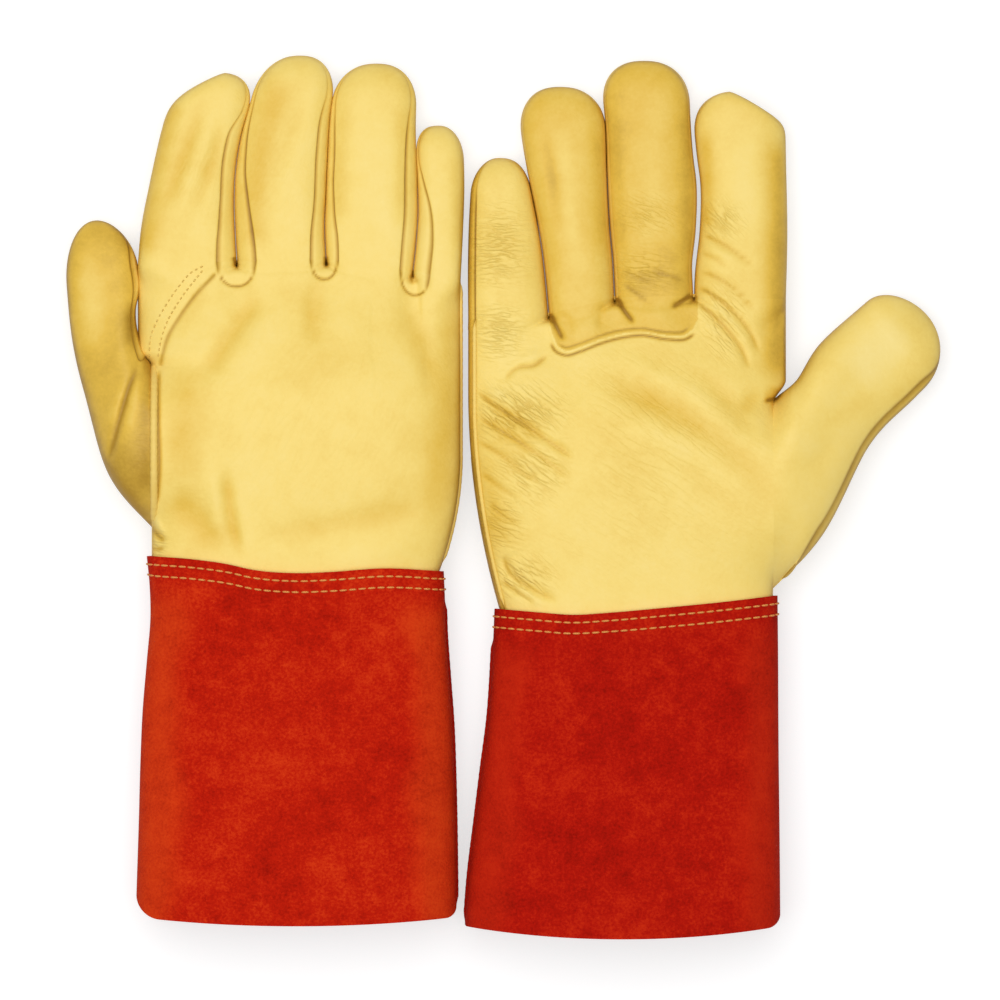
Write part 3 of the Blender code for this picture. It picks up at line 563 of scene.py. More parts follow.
PALM_UP = GloveSizes(
    name="glove2",
    palm_up=True,
    wrist_half=54.6,
    wrist_line=((-1, 6.2), (-0.6, 3.6), (-0.2, 1.4), (0.2, -0.6), (0.45, -1.4), (0.7, -0.4), (1, 1)),
    thumb_side_widening=(0.645, 0.73),
    little_widening=0.75,
    edges=(
        Edge(-59.8, 124.3, ((150, -60.4), (180, -59.9), (196, -59.6), (212, -59))),
        Edge(
            -23.0, 126.0,
            ((136.3, -23), (152.3, -24.6), (171.5, -24.8), (181, -23.6), (195.5, -22.4), (210, -21.8)),
            slot=1.7, bands=INDEX_MIDDLE_BANDS, loop=10.0,
        ),
        Edge(
            8.6, 125.0, ((140.3, 9.4), (153.5, 10.6), (176, 11.7), (193, 12.2), (212, 13.8)),
            slot=0.25, bands=MIDDLE_RING_BANDS, loop=8.0,
        ),
        Edge(
            35.0, 118.5,
            ((130, 36), (146.3, 37.9), (161.5, 40.6), (177.3, 43.8), (190, 45.8), (205, 47)),
            slot=0.25, bands=RING_LITTLE_BANDS, loop=9.0,
        ),
        Edge(67.1, 116.3, ((140, 67.2), (160, 66.6), (172, 65.8), (188, 64.4))),
    ),
    fingers=(
        FingerSizes("index", 207.5, 18.0, (9, 2.4), 13.0),
        FingerSizes("middle", 219.8, 18.0, (2.3, 2.3)),
        FingerSizes("ring", 209.4, 18.0, (2.3, 2.3)),
        FingerSizes("little", 181.0, 14.0, (2.6, 2.1)),
    ),
    outer_seam=40.0,
    thumb_root=(9, 85),
    thumb_stations=(
        ThumbStation(14.5, 14.1, 31.6, 9.1),
        ThumbStation(28.7, 39.3, 23.1, 23.5),
        ThumbStation(45.7, 56.1, 21.1, 31.4),
        ThumbStation(61.9, 70.9, 20.0, 40.0),
    ),
    thumb_seam_shift=(0, 38),
    thumb_bend=24.0,
    cuff_length=130.5,
    cuff_sides=(
        ((0, -56.4), (20, -56.6), (60, -56.8), (100, -57.2), (126, -57.4)),
        ((0, 56.6), (20, 57.4), (45, 59), (66, 61.6), (88, 64.2), (110, 66.8), (128, 68.2)),
    ),
    mouth_bow=5.0,
    mouth_corners=(5, 0.8),
    index_rows=(
        (
            (-37.4, 121.8), (-41.4, 119.6), (-45.8, 114.8), (-50.4, 107.4), (-53.4, 100.6), (-55, 93.8),
            (-55.4, 87.6),
        ),
        (
            (-37.4, 119.8), (-40.3, 116.2), (-44.2, 110.8), (-47.2, 104.8), (-49.4, 100), (-51, 93.6),
            (-51.6, 87.6),
        ),
    ),
    strokes=(
        # The seam below the middle and ring fingers, its edge and its stitches' line, with a painted
        # highlight on the seam and painted shade along the edge and the line
        Stroke(1, 0.4, 0.12, 0, 0.03, PALM_SEAM),
        Stroke(0.6, -0.6, 0, 0.8, 0.05, (
            (34.6, 108), (32.4, 103.8), (28.3, 102), (22.1, 103.6), (14.2, 106.7), (6.3, 108.9),
            (-1.6, 109.9), (-13.1, 108.3), (-19.6, 108.4), (-24.2, 111.2),
        )),
        Stroke(0.6, -0.3, 0, 0.4, 0.08, (
            (32.6, 108.2), (29, 105.4), (22.6, 106.7), (14.6, 109.8), (6.6, 112), (-1.4, 112.8),
            (-12.8, 111.2), (-18.6, 111.5), (-22, 114.2),
        )),
        Stroke(3.5, 0.8, 0.1, 0, 0.45, ((28, 111), (20, 113), (12, 116))),
        Stroke(3.5, 0.9, 0.1, 0, 0.45, ((2, 117), (-8, 118), (-17, 115))),
        # Tucks at the crotches, with painted shade in them
        Stroke(1.2, -1.4, -0.15, 0.95, 0.2, ((8.4, 126), (4.6, 119.6), (0.6, 114.4))),
        Stroke(1.3, -1.5, -0.15, 0.95, 0.2, ((35, 119.6), (32.4, 114.6), (29, 107.6))),
        Stroke(1.1, -1.2, -0.2, 0.9, 0.25, ((-22.6, 126.6), (-18.4, 123.8), (-13.6, 120.6))),
        Stroke(1.6, -0.8, -0.1, 0.3, 0.3, ((6.3, 131.5), (-0.8, 126.2), (-6, 121.6))),
        Stroke(1.4, -0.5, -0.1, 0.25, 0.3, ((-4, 136), (-13, 133.8), (-21, 131))),
        Stroke(1.4, -0.4, -0.1, 0.2, 0.3, ((7, 137), (0, 133.4), (-8, 131))),
        Stroke(1.6, -0.5, -0.1, 0, 0.3, ((32, 122), (28, 117), (24.6, 110.6))),
        Stroke(1.6, -0.5, -0.1, 0, 0.3, ((12, 124), (14, 118), (14.6, 111.6))),
        # Creases that run from the index finger's crotch, with painted shade in them and painted highlights
        # beside them
        Stroke(1.5, -0.7, -0.12, 0.42, 0.2, ((-25, 150.8), (-31.6, 148), (-39, 143.6), (-47, 137))),
        Stroke(1.7, 0.5, 0.1, 0, 0.45, ((-25.6, 146.6), (-31, 144), (-39.8, 138.6))),
        Stroke(1.2, -0.4, -0.08, 0.25, 0.25, ((-25, 143.6), (-31, 140.8), (-37, 136.6))),
        Stroke(1.5, -0.7, -0.12, 0.38, 0.2, ((-24, 136), (-31, 133.6), (-40, 127.6), (-48, 118.6))),
        Stroke(1.6, -0.9, -0.15, 0.5, 0.15, (
            (-23.2, 129.8), (-29.8, 126.6), (-38, 120), (-46.5, 108.9), (-49, 102),
        )),
        Stroke(1.5, 0.7, 0.15, 0, 0.45, ((-25, 125.6), (-30.6, 122.4), (-37.6, 115.6), (-43, 108))),
        Stroke(1.6, -0.9, -0.15, 0.5, 0.15, (
            (-23, 123.6), (-29.8, 118.8), (-36.8, 111.6), (-42.6, 103), (-45, 96),
        )),
        Stroke(1.6, 0.5, 0.12, 0, 0.45, ((-24, 118.2), (-29, 113.8), (-34, 107.6))),
        # Creases and folds of the palm, with painted shade in them and painted highlights beside them
        Stroke(1.2, -0.9, -0.1, 0.5, 0.2, ((34.8, 102.8), (40.8, 98), (47.4, 97), (53.4, 91.7))),
        Stroke(1.8, 0.6, 0.1, 0, 0.45, ((37.6, 104.4), (42.8, 101.4), (50, 99.8))),
        Stroke(2, -1.5, -0.2, 0.55, 0.15, ((65, 89), (57.5, 82.7), (48.7, 77.1), (37.3, 69.3), (24, 60.3))),
        Stroke(2.4, 0.7, 0.1, 0, 0.45, ((62, 91.6), (52, 84), (42, 77))),
        Stroke(1.6, -1, -0.15, 0.42, 0.18, ((66, 79), (57, 73.8), (46, 67), (34, 58.6), (25, 52))),
        Stroke(9, -0.4, -0.24, 0, 0.3, ((62, 80), (50, 71), (38, 63))),
        Stroke(1.4, -0.8, -0.12, 0.38, 0.2, ((65, 68.6), (56, 63.6), (47, 57), (39, 50))),
        Stroke(1.3, -0.6, -0.1, 0.3, 0.25, ((63, 56), (55, 50), (46, 44))),
        Stroke(1.3, -0.6, -0.1, 0.3, 0.25, ((60, 44), (54, 38.6), (46, 34))),
        Stroke(6, 0, -0.28, 0, 0.3, ((62, 66), (58, 46), (53, 22))),
        Stroke(6, -1.2, -0.36, 0, 0.35, (
            (28.5, 99.9), (5.8, 89.8), (-17, 78.4), (-38.4, 63.3), (-54.9, 45.6), (-62.4, 35.5),
        )),
        Stroke(4, 0.7, 0.15, 0, 0.45, ((20, 106), (-4, 96), (-26, 84), (-44, 68))),
        Stroke(6, 0.7, 0.15, 0, 0.45, ((16, 82), (-8, 70), (-30, 52))),
        Stroke(4, -0.7, -0.22, 0, 0.35, ((-22, 98), (-38, 82), (-50, 66))),
        Stroke(4.5, -0.6, -0.2, 0, 0.45, ((0, 70), (-22, 56), (-42, 36))),
        Stroke(0.9, -1, 0, 0.85, 0.2, ((-58.4, 88.6), (-55.6, 84.8), (-50.6, 83.8))),
        Stroke(3, 0, -0.4, 0, 0.3, ((-57, 90), (-54, 86), (-50, 86))),
        Stroke(3, -0.6, -0.25, 0, 0.45, ((-50, 88), (-46, 84), (-43, 77))),
        Stroke(1.8, -1.3, -0.15, 0.5, 0.2, ((53.5, 23.6), (50.6, 15.5), (41.6, 9), (30.7, 3.7))),
        Stroke(1.4, -0.9, -0.12, 0.45, 0.2, ((54.6, 13), (48, 8), (40, 3))),
        Stroke(2, 0.8, 0.1, 0, 0.45, ((50, 11), (44, 6.6), (36, 2))),
        # Shading along the fingers and the thumb
        Stroke(5.5, 0, -0.55, 0, 0.1, ((-57, 190), (-57, 160), (-56.5, 124), (-55, 90))),
        Stroke(5, 0, 0.2, 0, 0.3, ((-43, 194), (-43.5, 168), (-46, 146))),
        Stroke(3.2, 0, -0.4, 0, 0.2, ((-27, 194), (-28.5, 172), (-27.5, 148))),
        Stroke(5, 0, 0.16, 0, 0.25, ((-8, 208), (-7, 172), (-7, 138))),
        Stroke(3, 0, -0.2, 0, 0.2, ((-19, 206), (-20.5, 176), (-19.5, 136))),
        Stroke(3, 0, -0.16, 0, 0.2, ((8, 204), (7, 176), (5, 140))),
        Stroke(3.6, 0, 0.24, 0, 0.25, ((31, 198), (27, 166), (22, 126))),
        Stroke(2.6, -0.4, -0.22, 0, 0.35, ((36.5, 196), (34, 176), (30, 146))),
        Stroke(3, 0, -0.18, 0, 0.2, ((17, 200), (15, 170), (13, 136))),
        Stroke(5, 0, -0.18, 0, 0.45, ((-64, 66), (-76, 74), (-92, 88))),
        Stroke(4, -0.4, -0.15, 0, 0.45, ((-66, 52), (-74, 62), (-84, 72))),
        Stroke(11, 0, 0.42, 0, 0.3, ((-84, 92), (-98, 104), (-110, 114))),
    ),
    crumples=(
        Crumple((55, 144), (12, 17), 2.0, 2.1, 1.0),
        Crumple((55, 112), (11, 13), 6.0, 2.2, 1.1),
        Crumple((-34, 156), (9, 8), 42.0, 1.9, 0.9),
        Crumple((-4, 158), (11, 9), 24.0, 1.9, 0.6),
        Crumple((-2, 135), (14, 10), 10.0, 2.0, 0.6),
        Crumple((47, 78), (20, 13), 38.0, 2.4, 1.5),
        Crumple((42, 56), (18, 16), 32.0, 2.6, 1.1),
        Crumple((53, 38), (9, 18), 20.0, 2.2, 0.9),
        Crumple((46, 14), (13, 9), 36.0, 2.4, 1.1),
        Crumple((-35, 116), (9, 16), 46.0, 2.3, 0.8),
        Crumple((0, 60), (55, 48), 34.0, 3.2, 0.3),
    ),
    patches=(Patch(((36, 122),) + PALM_SEAM + ((-24.5, 130), (9, 130)), -0.42),),
    tones=(
        ("index_wrap", -0.06), ("middle_front", -0.5), ("ring_front", -0.36),
        ("thumb_back", -0.35), ("little_back", -0.4), ("back_panel", -0.4),
    ),
)


def mix(start: Array, end: Array, share: Array) -> Array:
    """A value part of the way from one to another."""
    return start + (end - start) * share


def smooth(share: Array) -> Array:
    """An eased step from 0 to 1."""
    share = np.clip(share, 0.0, 1.0)
    return share * share * (3.0 - 2.0 * share)


def bell(distance: Array, width: Array) -> Array:
    """A bell curve that is 1 at no distance."""
    return np.exp(-((distance / width) ** 2))


def arch(across: Array, squareness: Array) -> Array:
    """The height of a unit superellipse at a distance across it."""
    return np.maximum(1.0 - np.minimum(np.abs(across), 1.0) ** squareness, 0.0) ** (1.0 / squareness)


def rounded(angle: Array, squareness: Array) -> tuple[Array, Array]:
    """The point of a unit superellipse at an angle, from powers of its cosine and sine."""
    power = 2.0 / squareness
    cosine, sine = np.cos(angle), np.sin(angle)
    return np.sign(cosine) * np.abs(cosine) ** power, np.sign(sine) * np.abs(sine) ** power


def through(knots: Knots, at: Array) -> Array:
    """A smooth curve through knots, straight beyond its ends.

    Args:
        knots: pairs of place and value, in rising order of place.
        at: the places asked for.

    Returns:
        The cubic between each two knots whose slopes are the mean slopes at the knots.
    """
    places, values = np.array(knots, float).T
    slopes = np.gradient(values, places)
    inside = np.clip(at, places[0], places[-1])
    i = np.clip(np.searchsorted(places, inside, side="right") - 1, 0, len(places) - 2)
    span = places[i + 1] - places[i]
    share = (inside - places[i]) / span
    first, last = values[i], values[i + 1]
    rise, fall = slopes[i] * span, slopes[i + 1] * span
    cubic = 2.0 * first - 2.0 * last + rise + fall
    square = 3.0 * last - 3.0 * first - 2.0 * rise - fall
    curve = first + share * (rise + share * (square + share * cubic))
    before = np.minimum(at - places[0], 0.0) * slopes[0]
    after = np.maximum(at - places[-1], 0.0) * slopes[-1]
    return curve + before + after


def lengths_along(points: Array) -> Array:
    """How far along a line of points each of them lies."""
    return np.concatenate([[0.0], np.cumsum(np.linalg.norm(np.diff(points, axis=0), axis=1))])


def run(path: Knots, step: float) -> Array:
    """Points about a step apart on a smooth line through the knots of a path.

    Args:
        path: knots in the plan.
        step: the distance between points.

    Returns:
        An array of points, one row each.
    """
    knots = np.array(path, float)
    lengths = lengths_along(knots)
    count = max(round(lengths[-1] / step), 2)
    at = np.linspace(0.0, lengths[-1], count + 1)
    return np.stack([through(tuple(zip(lengths, column)), at) for column in knots.T], axis=-1)


def grid_faces(rows: int, columns: int, loop: bool) -> Array:
    """The four points of every face of a grid.

    Args:
        rows: its rows of points.
        columns: the points in a row.
        loop: whether its last column joins its first.

    Returns:
        An array of point numbers, one row for each face.
    """
    r, c = np.meshgrid(np.arange(rows - 1), np.arange(columns if loop else columns - 1), indexing="ij")
    here, above = r * columns, (r + 1) * columns
    d = (c + 1) % columns
    return np.stack([here + c, here + d, above + d, above + c], axis=-1).reshape(-1, 4)


def level_between(start: Level, end: Level, share: Array) -> tuple[Array, Array, Array]:
    """The underside, seam and top heights part of the way from one level to another."""
    return tuple(mix(a, b, share) for a, b in zip(astuple(start), astuple(end)))


@dataclass
class Surface:
    """A grid of points with the colour values that go with it.

    Attributes:
        points: rows by columns by 3, in millimetres in the glove's plan.
        tone: how pale each point is, with painted shade and painted highlights along the folds and the
            patches' own tone.
        crease: how dark the painted shade in each point's creases and seams is.
        wrinkle: how strong the fine wrinkles are.
        lie: the place of each point in the pattern of its wrinkles, along them and across them.
    """

    points: Array
    tone: Array
    crease: Array
    wrinkle: Array
    lie: Array

    @classmethod
    def plain(cls, points: Array) -> "Surface":
        """A surface with no colour of its own yet."""
        return cls(points, *(np.zeros(points.shape[:2]) for _ in range(3)), np.zeros(points.shape))

    def columns(self, first: int, last: int) -> "Surface":
        """The columns from one to another, going on round the loop where the last is past the end."""
        pick = np.arange(first, last + 1) % self.points.shape[1]
        return Surface(*(getattr(self, field.name)[:, pick] for field in fields(self)))

    def slope(self) -> Array:
        """How steeply each point's surface turns down, from 0 where it is level to 1."""
        along = np.gradient(self.points, axis=0)
        across = np.gradient(self.points, axis=1)
        level = np.abs(unit(np.cross(across, along))[..., 2])
        return smooth((SLOPE_START - level) / SLOPE_RANGE)


@dataclass
class Relief:
    """The folds, creases and seams on one face of a glove."""

    strokes: list[Stroke]
    crumples: list[Crumple]
    patches: list[Patch]

    def wrinkle(self, surface: Surface, shown: Array) -> None:
        """Lay patches of fine wrinkles, each strongest at its middle and gone where the next one begins.

        Args:
            surface: the surface to change.
            shown: how fully each point takes part.
        """
        strongest, second = np.zeros(shown.shape), np.zeros(shown.shape)
        for seed, crumple in enumerate(self.crumples):
            offset = surface.points[..., :2] - crumple.centre
            reach = np.sum((offset / crumple.reach) ** 2, axis=2)
            strength = crumple.strength * np.exp(-CRUMPLE_FALL * reach) * shown
            stronger = strength > strongest
            heading = math.radians(crumple.heading)
            along = offset @ np.array((math.cos(heading), math.sin(heading)))
            across = offset @ np.array((-math.sin(heading), math.cos(heading)))
            length = WRINKLE_STRETCH * crumple.pitch
            pattern = np.full_like(along, seed * PATTERN_STEP)
            lie = np.stack([along / length, across / crumple.pitch, pattern], axis=-1)
            second = np.where(stronger, strongest, np.maximum(second, strength))
            strongest = np.maximum(strongest, strength)
            surface.lie = np.where(stronger[..., None], lie, surface.lie)
        surface.wrinkle = np.maximum(surface.wrinkle, strongest - second)

    def tint(self, surface: Surface, shown: Array) -> None:
        """Change the tone inside every patch."""
        for patch in self.patches:
            inside = patch.holds(surface.points[..., :2].reshape(-1, 2)).reshape(shown.shape)
            surface.tone = surface.tone + patch.tone * inside * (shown > 0.0)

    def shape(self, surface: Surface, weight: Array, shown: Array) -> None:
        """Raise and lower a surface along every stroke, and paint shade and highlights along it.

        A stroke's height and painted tone fall off as a bell curve with the distance from its line, and
        its painted crease shade as a narrower one that thins out along a fold.

        Args:
            surface: the surface to change.
            weight: how fully each point is raised, with the sign of its face.
            shown: how fully each point takes on the painted tone and crease shade.
        """
        shape = weight.shape
        flat = surface.points.reshape(-1, 3)
        tone, crease = surface.tone.reshape(-1), surface.crease.reshape(-1)
        share, strength = weight.reshape(-1), shown.reshape(-1)
        plan = flat[:, :2].copy()
        for stroke in self.strokes:
            line = run(stroke.path, STROKE_STEP)
            margin = STROKE_REACH * stroke.width + (LEDGE_MARGIN if stroke.step else 0.0)
            near = np.all((plan > line.min(axis=0) - margin) & (plan < line.max(axis=0) + margin), axis=1)
            near = np.flatnonzero(near & (strength > 0.0))
            if near.size == 0:
                continue
            distance, side, along = nearest(line, plan[near])
            ends = smooth(np.minimum(along, 1.0 - along) / stroke.fading)
            effect = bell(distance, stroke.width) * ends
            rim = smooth(0.5 + side * distance / LEDGE_WIDTH)
            ledge = stroke.step * np.exp(-distance / LEDGE_REACH) * rim * ends
            flat[near, 2] += share[near] * (stroke.lift * effect + ledge)
            tone[near] += stroke.tone * effect * strength[near]
            depth, line_width = 1.0, stroke.width
            if stroke.width >= FOLD_WIDTH:
                depth = mix(1.0, CREASE_END, along)
                line_width = CREASE_WIDTH * np.sqrt(depth)
            dark = stroke.crease * depth * bell(distance, line_width) * ends * strength[near]
            crease[near] = np.maximum(crease[near], dark)
        surface.points = flat.reshape(*shape, 3)
        surface.tone, surface.crease = tone.reshape(shape), crease.reshape(shape)
        self.wrinkle(surface, shown)


def nearest(line: Array, plan: Array) -> tuple[Array, Array, Array]:
    """How plan points lie by a line of points.

    Args:
        line: the points of the line.
        plan: the points asked about.

    Returns:
        The distance, the side (1 on the left of the line) and the share along it.
    """
    start, way = line[:-1], np.diff(line, axis=0)
    offset = plan[:, None, :] - start
    share = np.clip(np.sum(offset * way, axis=2) / np.sum(way * way, axis=1), 0.0, 1.0)
    gap = offset - share[..., None] * way
    distance = np.linalg.norm(gap, axis=2)
    best = np.argmin(distance, axis=1)
    rows = np.arange(len(plan))
    turn = way[best, 0] * gap[rows, best, 1] - way[best, 1] * gap[rows, best, 0]
    return distance[rows, best], np.sign(turn), (best + share[rows, best]) / len(start)


class Glove:
    """One glove's place on the table, and the relief of its two faces."""

    def __init__(self, sizes: GloveSizes) -> None:
        """Find the glove's place from its index finger's hinge in the frame."""
        self.sizes = sizes
        self.mirror = -1.0 if sizes.palm_up else 1.0
        self.back = Face.UNDER if sizes.palm_up else Face.OVER
        hinge = next(j for j in frame["joints"] if j["name"] == f"{sizes.name}_index_knuckle")
        first, second = sizes.edges[:2]
        plan = (self.mirror * (first.knuckle + second.knuckle) / 2.0, (first.reach + second.reach) / 2.0)
        self.root = np.array(hinge["pos_m"][:2]) - np.array(plan) * MM
        drawn = Relief(list(sizes.strokes), list(sizes.crumples), list(sizes.patches))
        self.relief = {Face.OVER: drawn, Face.UNDER: Relief([], [], [])}
        self.relief[self.back].strokes += [self.loop(edge) for edge in sizes.edges[1:-1]]

    def loop(self, edge: Edge) -> Stroke:
        """The seam of a gusset's loop, a half oval below the crotch, sunk with painted shade along it."""
        thumb, little = (band[0][1] for band in edge.bands)
        middle = edge.knuckle + (little - thumb) / 2.0
        half = (little + thumb) / 2.0
        turns = np.linspace(math.pi, 2.0 * math.pi, LOOP_POINTS)
        across, drop = rounded(turns, LOOP_SQUARENESS)
        path = tuple((middle + half * a, edge.reach + edge.loop * d) for a, d in zip(across, drop))
        return Stroke(SEAM_WIDTH, -SEAM_DEPTH, 0.0, SEAM_CREASE, NO_FADING, path)

    def world(self, points: Array) -> Array:
        """Plan points in millimetres as points of the frame in metres."""
        placed = points * np.array((self.mirror, 1.0, 1.0)) * MM
        placed[..., :2] += self.root
        return placed

    def tone(self, piece: str) -> float:
        """How pale a whole piece is."""
        return dict(self.sizes.tones).get(piece, 0.0)

    def by_face(self, palm: str, back: str) -> tuple[str, str]:
        """A name for the palm side and one for the back, that of the upper face first."""
        return (palm, back) if self.sizes.palm_up else (back, palm)

    def body(self, name: str) -> str:
        """The name of one of the glove's bodies in the frame."""
        return f"{self.sizes.name}_{name}"


@dataclass
class Finger:
    """A finger as a closed tube of strips and gussets.

    The columns run from the thumb side over the top to the little finger side and back below.
    """

    glove: Glove
    place: int

    def __post_init__(self) -> None:
        """Work out the tube once, for the finger's pieces and for the hand that it grows from."""
        self.sizes = self.glove.sizes.fingers[self.place]
        self.left = self.glove.sizes.edges[self.place]
        self.right = self.glove.sizes.edges[self.place + 1]
        body = np.linspace(0.0, 1.0, FINGER_BODY_ROWS + 1)
        tip = 1.0 + np.linspace(0.0, 1.0, FINGER_TIP_ROWS + 1)[1:]
        self.rows = np.concatenate([body, tip])[:, None]
        self.length = self.sizes.reach - (self.left.reach + self.right.reach) / 2.0
        self.tip_start = 1.0 - self.sizes.tip_round / self.length
        self.tube = self.formed()

    def outer(self) -> bool:
        """Whether this is the little finger, whose outer side has a seam and no gusset."""
        return self.place == len(self.glove.sizes.fingers) - 1

    def band(self, face: Face, side: str) -> Knots:
        """The widths of the gusset on a face and side, by the distance from the crotch."""
        if face is not self.glove.back:
            return PALM_BAND
        return self.left.bands[1] if side == "thumb" else self.right.bands[0]

    def squareness(self, face: Face) -> Array:
        """How square the section is on a face, from the knuckle to the tip."""
        base, far = BACK_SQUARENESS if face is self.glove.back else PALM_SQUARENESS
        return mix(base, far, smooth(self.share_along() * self.length / SQUARE_REACH))

    def share_along(self) -> Array:
        """The share of the finger's length at each row, before the tip's rounding."""
        return self.shared(np.maximum(self.rows - 1.0, 0.0))

    def shared(self, tip: Array) -> Array:
        """The share of the finger's length at each row, from the share of the tip that lies below it."""
        return self.tip_start * np.minimum(self.rows, 1.0) + (1.0 - self.tip_start) * tip

    def seam_angle(self, face: Face, side: str) -> Array:
        """How far round the section a gusset reaches on a face, as an angle from its side.

        The angle is the one whose point is the gusset's width in from the side.
        """
        share = self.share_along()
        width = np.maximum(through(self.band(face, side), share * self.length), LEAST_BAND)
        height = mix((self.left.reach + self.right.reach) / 2.0, self.sizes.reach, share)
        half = (self.right.across(height) - self.left.across(height)) / 2.0
        inner = np.clip(1.0 - width / half, 0.0, 1.0)
        return np.arccos(inner ** (self.squareness(face) / 2.0))

    def place_points(self, angle: Array) -> tuple[Array, Array]:
        """Points of the bare tube, and the middle of each point's section.

        A point is a superellipse's point at its angle. The width comes from the lines on the
        finger's two sides at the point's own height, and both width and height shrink over
        the tip as a quarter superellipse.
        """
        over, under = self.squareness(Face.OVER), self.squareness(Face.UNDER)
        across, rise = rounded(angle, np.where(np.sin(angle) >= 0.0, over, under))
        thumb_tip, little_tip = self.sizes.tip_squareness
        power = 2.0 / mix(thumb_tip, little_tip, (across + 1.0) / 2.0)
        turn = np.maximum(self.rows - 1.0, 0.0) * QUARTER_TURN
        kept = np.maximum(np.cos(turn), 0.0) ** power
        share = self.shared(np.sin(turn) ** power)
        base = mix(self.left.reach, self.right.reach, (across + 1.0) / 2.0)
        slanted = np.clip((SLANT_START - across * kept) / (1.0 + SLANT_START), 0.0, 1.0)
        tip = self.sizes.reach - self.sizes.slant * slanted**SLANT_POWER
        y = mix(base, tip, share)
        left = self.left.across(y) + self.left.half_slot(y)
        right = self.right.across(y) - self.right.half_slot(y)
        bottom, seam, top = level_between(KNUCKLE_LEVEL, FINGERTIP_LEVEL, smooth(share))
        height = np.where(rise > 0.0, top - seam, seam - bottom)
        middle = (left + right) / 2.0
        x = middle + across * kept * (right - left) / 2.0
        z = seam + rise * kept * height
        centre = np.stack([middle, y, seam * np.ones_like(x)], axis=-1)
        return np.stack([x, y, z], axis=-1), centre

    def angles(self) -> Array:
        """The angle of every column at every row, with columns along each seam and each side."""
        parts = []
        outer = math.radians(self.glove.sizes.outer_seam) * np.ones_like(self.rows)
        for face in Face:
            thumb, little = self.seam_angle(face, "thumb"), self.seam_angle(face, "little")
            if self.outer():
                little = outer if face is Face.OVER else LEAST_ANGLE + 0.0 * outer
            strip = STRIP_COLUMNS if face is Face.OVER else UNDER_STRIP_COLUMNS
            stops = (
                (math.pi + 0.0 * thumb, math.pi - thumb, WALL_COLUMNS),
                (math.pi - thumb, little, strip),
                (little, 0.0 * little, WALL_COLUMNS),
            )
            half = [mix(a, b, np.linspace(0.0, 1.0, count + 1)[None, :-1]) for a, b, count in stops]
            half = np.concatenate(half + [0.0 * thumb], axis=1)
            parts.append(half[:, :-1] if face is Face.OVER else -half[:, :0:-1])
        return np.concatenate(parts, axis=1)

    def formed(self) -> Surface:
        """The tube with its seams sunk and its gussets rolled, then the relief of each face."""
        angle = self.angles()
        points, centre = self.place_points(angle)
        surface = Surface.plain(points)
        outward = points - centre
        size = np.linalg.norm(outward, axis=2)
        outward = outward / np.maximum(size, 1e-6)[..., None]
        lift = np.zeros(angle.shape)
        fade = smooth(size / TIP_FADE)
        seam_end, seam_fade = SEAM_END
        for face in Face:
            for side, turn in (("thumb", 1.0), ("little", 0.0)):
                outer = self.outer() and side == "little"
                if (self.place == 0 and side == "thumb") or (outer and face is Face.UNDER):
                    continue
                reach = self.seam_angle(face, side)
                if outer:
                    reach = 0.0 * reach + math.radians(self.glove.sizes.outer_seam)
                line = face.value * np.abs(turn * math.pi - reach)
                seam = self.place_points(line)[0]
                distance = np.linalg.norm((points - seam)[..., (0, 2)], axis=2)
                groove = bell(distance, SEAM_WIDTH) * (np.sin(angle) * face.value > SEAM_FACING)
                strength = SEAM_CREASE if face is self.glove.back or outer else 0.0
                strength = strength * (1.0 - smooth((self.share_along() - seam_end) / seam_fade))
                lift -= SEAM_DEPTH * groove * fade * strength
                # Painted shade in the seam's groove
                surface.crease = np.maximum(surface.crease, strength * groove)
                if face is self.glove.back and not outer:
                    from_side = np.abs(np.abs(angle) - turn * math.pi)
                    inside = np.clip(from_side / np.maximum(reach, 1e-3), 0.0, 1.0)
                    on_face = (np.sin(angle) * face.value >= 0.0) & (from_side < reach)
                    lift += ROLL_RISE * np.sin(inside * math.pi) * on_face * fade
        surface.points = points + outward * lift[..., None]
        self.bare = points[0].copy()
        self.base = surface.points[0].copy()
        grown = smooth(self.share_along() * self.length / RELIEF_START)
        rise = np.sin(angle)
        for face in Face:
            shown = smooth(face.value * rise * FINGER_FACE) * fade
            self.glove.relief[face].shape(surface, face.value * shown * grown, shown)
        return surface

    def pieces(self) -> dict[str, Surface]:
        """The finger's pieces by name, cut from the tube along its seams."""
        over_last = WALL_COLUMNS + STRIP_COLUMNS
        side = over_last + WALL_COLUMNS
        under_first = side + WALL_COLUMNS
        under_last = under_first + UNDER_STRIP_COLUMNS
        whole = self.tube.points.shape[1]
        upper, lower = self.glove.by_face("front", "back")
        if self.place == 0:
            return {
                "wrap": self.tube.columns(under_first, whole + over_last),
                "little_side_wall": self.tube.columns(over_last, under_first),
            }
        made = {
            upper: self.tube.columns(WALL_COLUMNS, over_last),
            lower: self.tube.columns(over_last if self.outer() else under_first, under_last),
            "thumb_side_wall": self.tube.columns(under_last, whole + WALL_COLUMNS),
        }
        if not self.outer():
            made["little_side_wall"] = self.tube.columns(over_last, under_first)
        return made


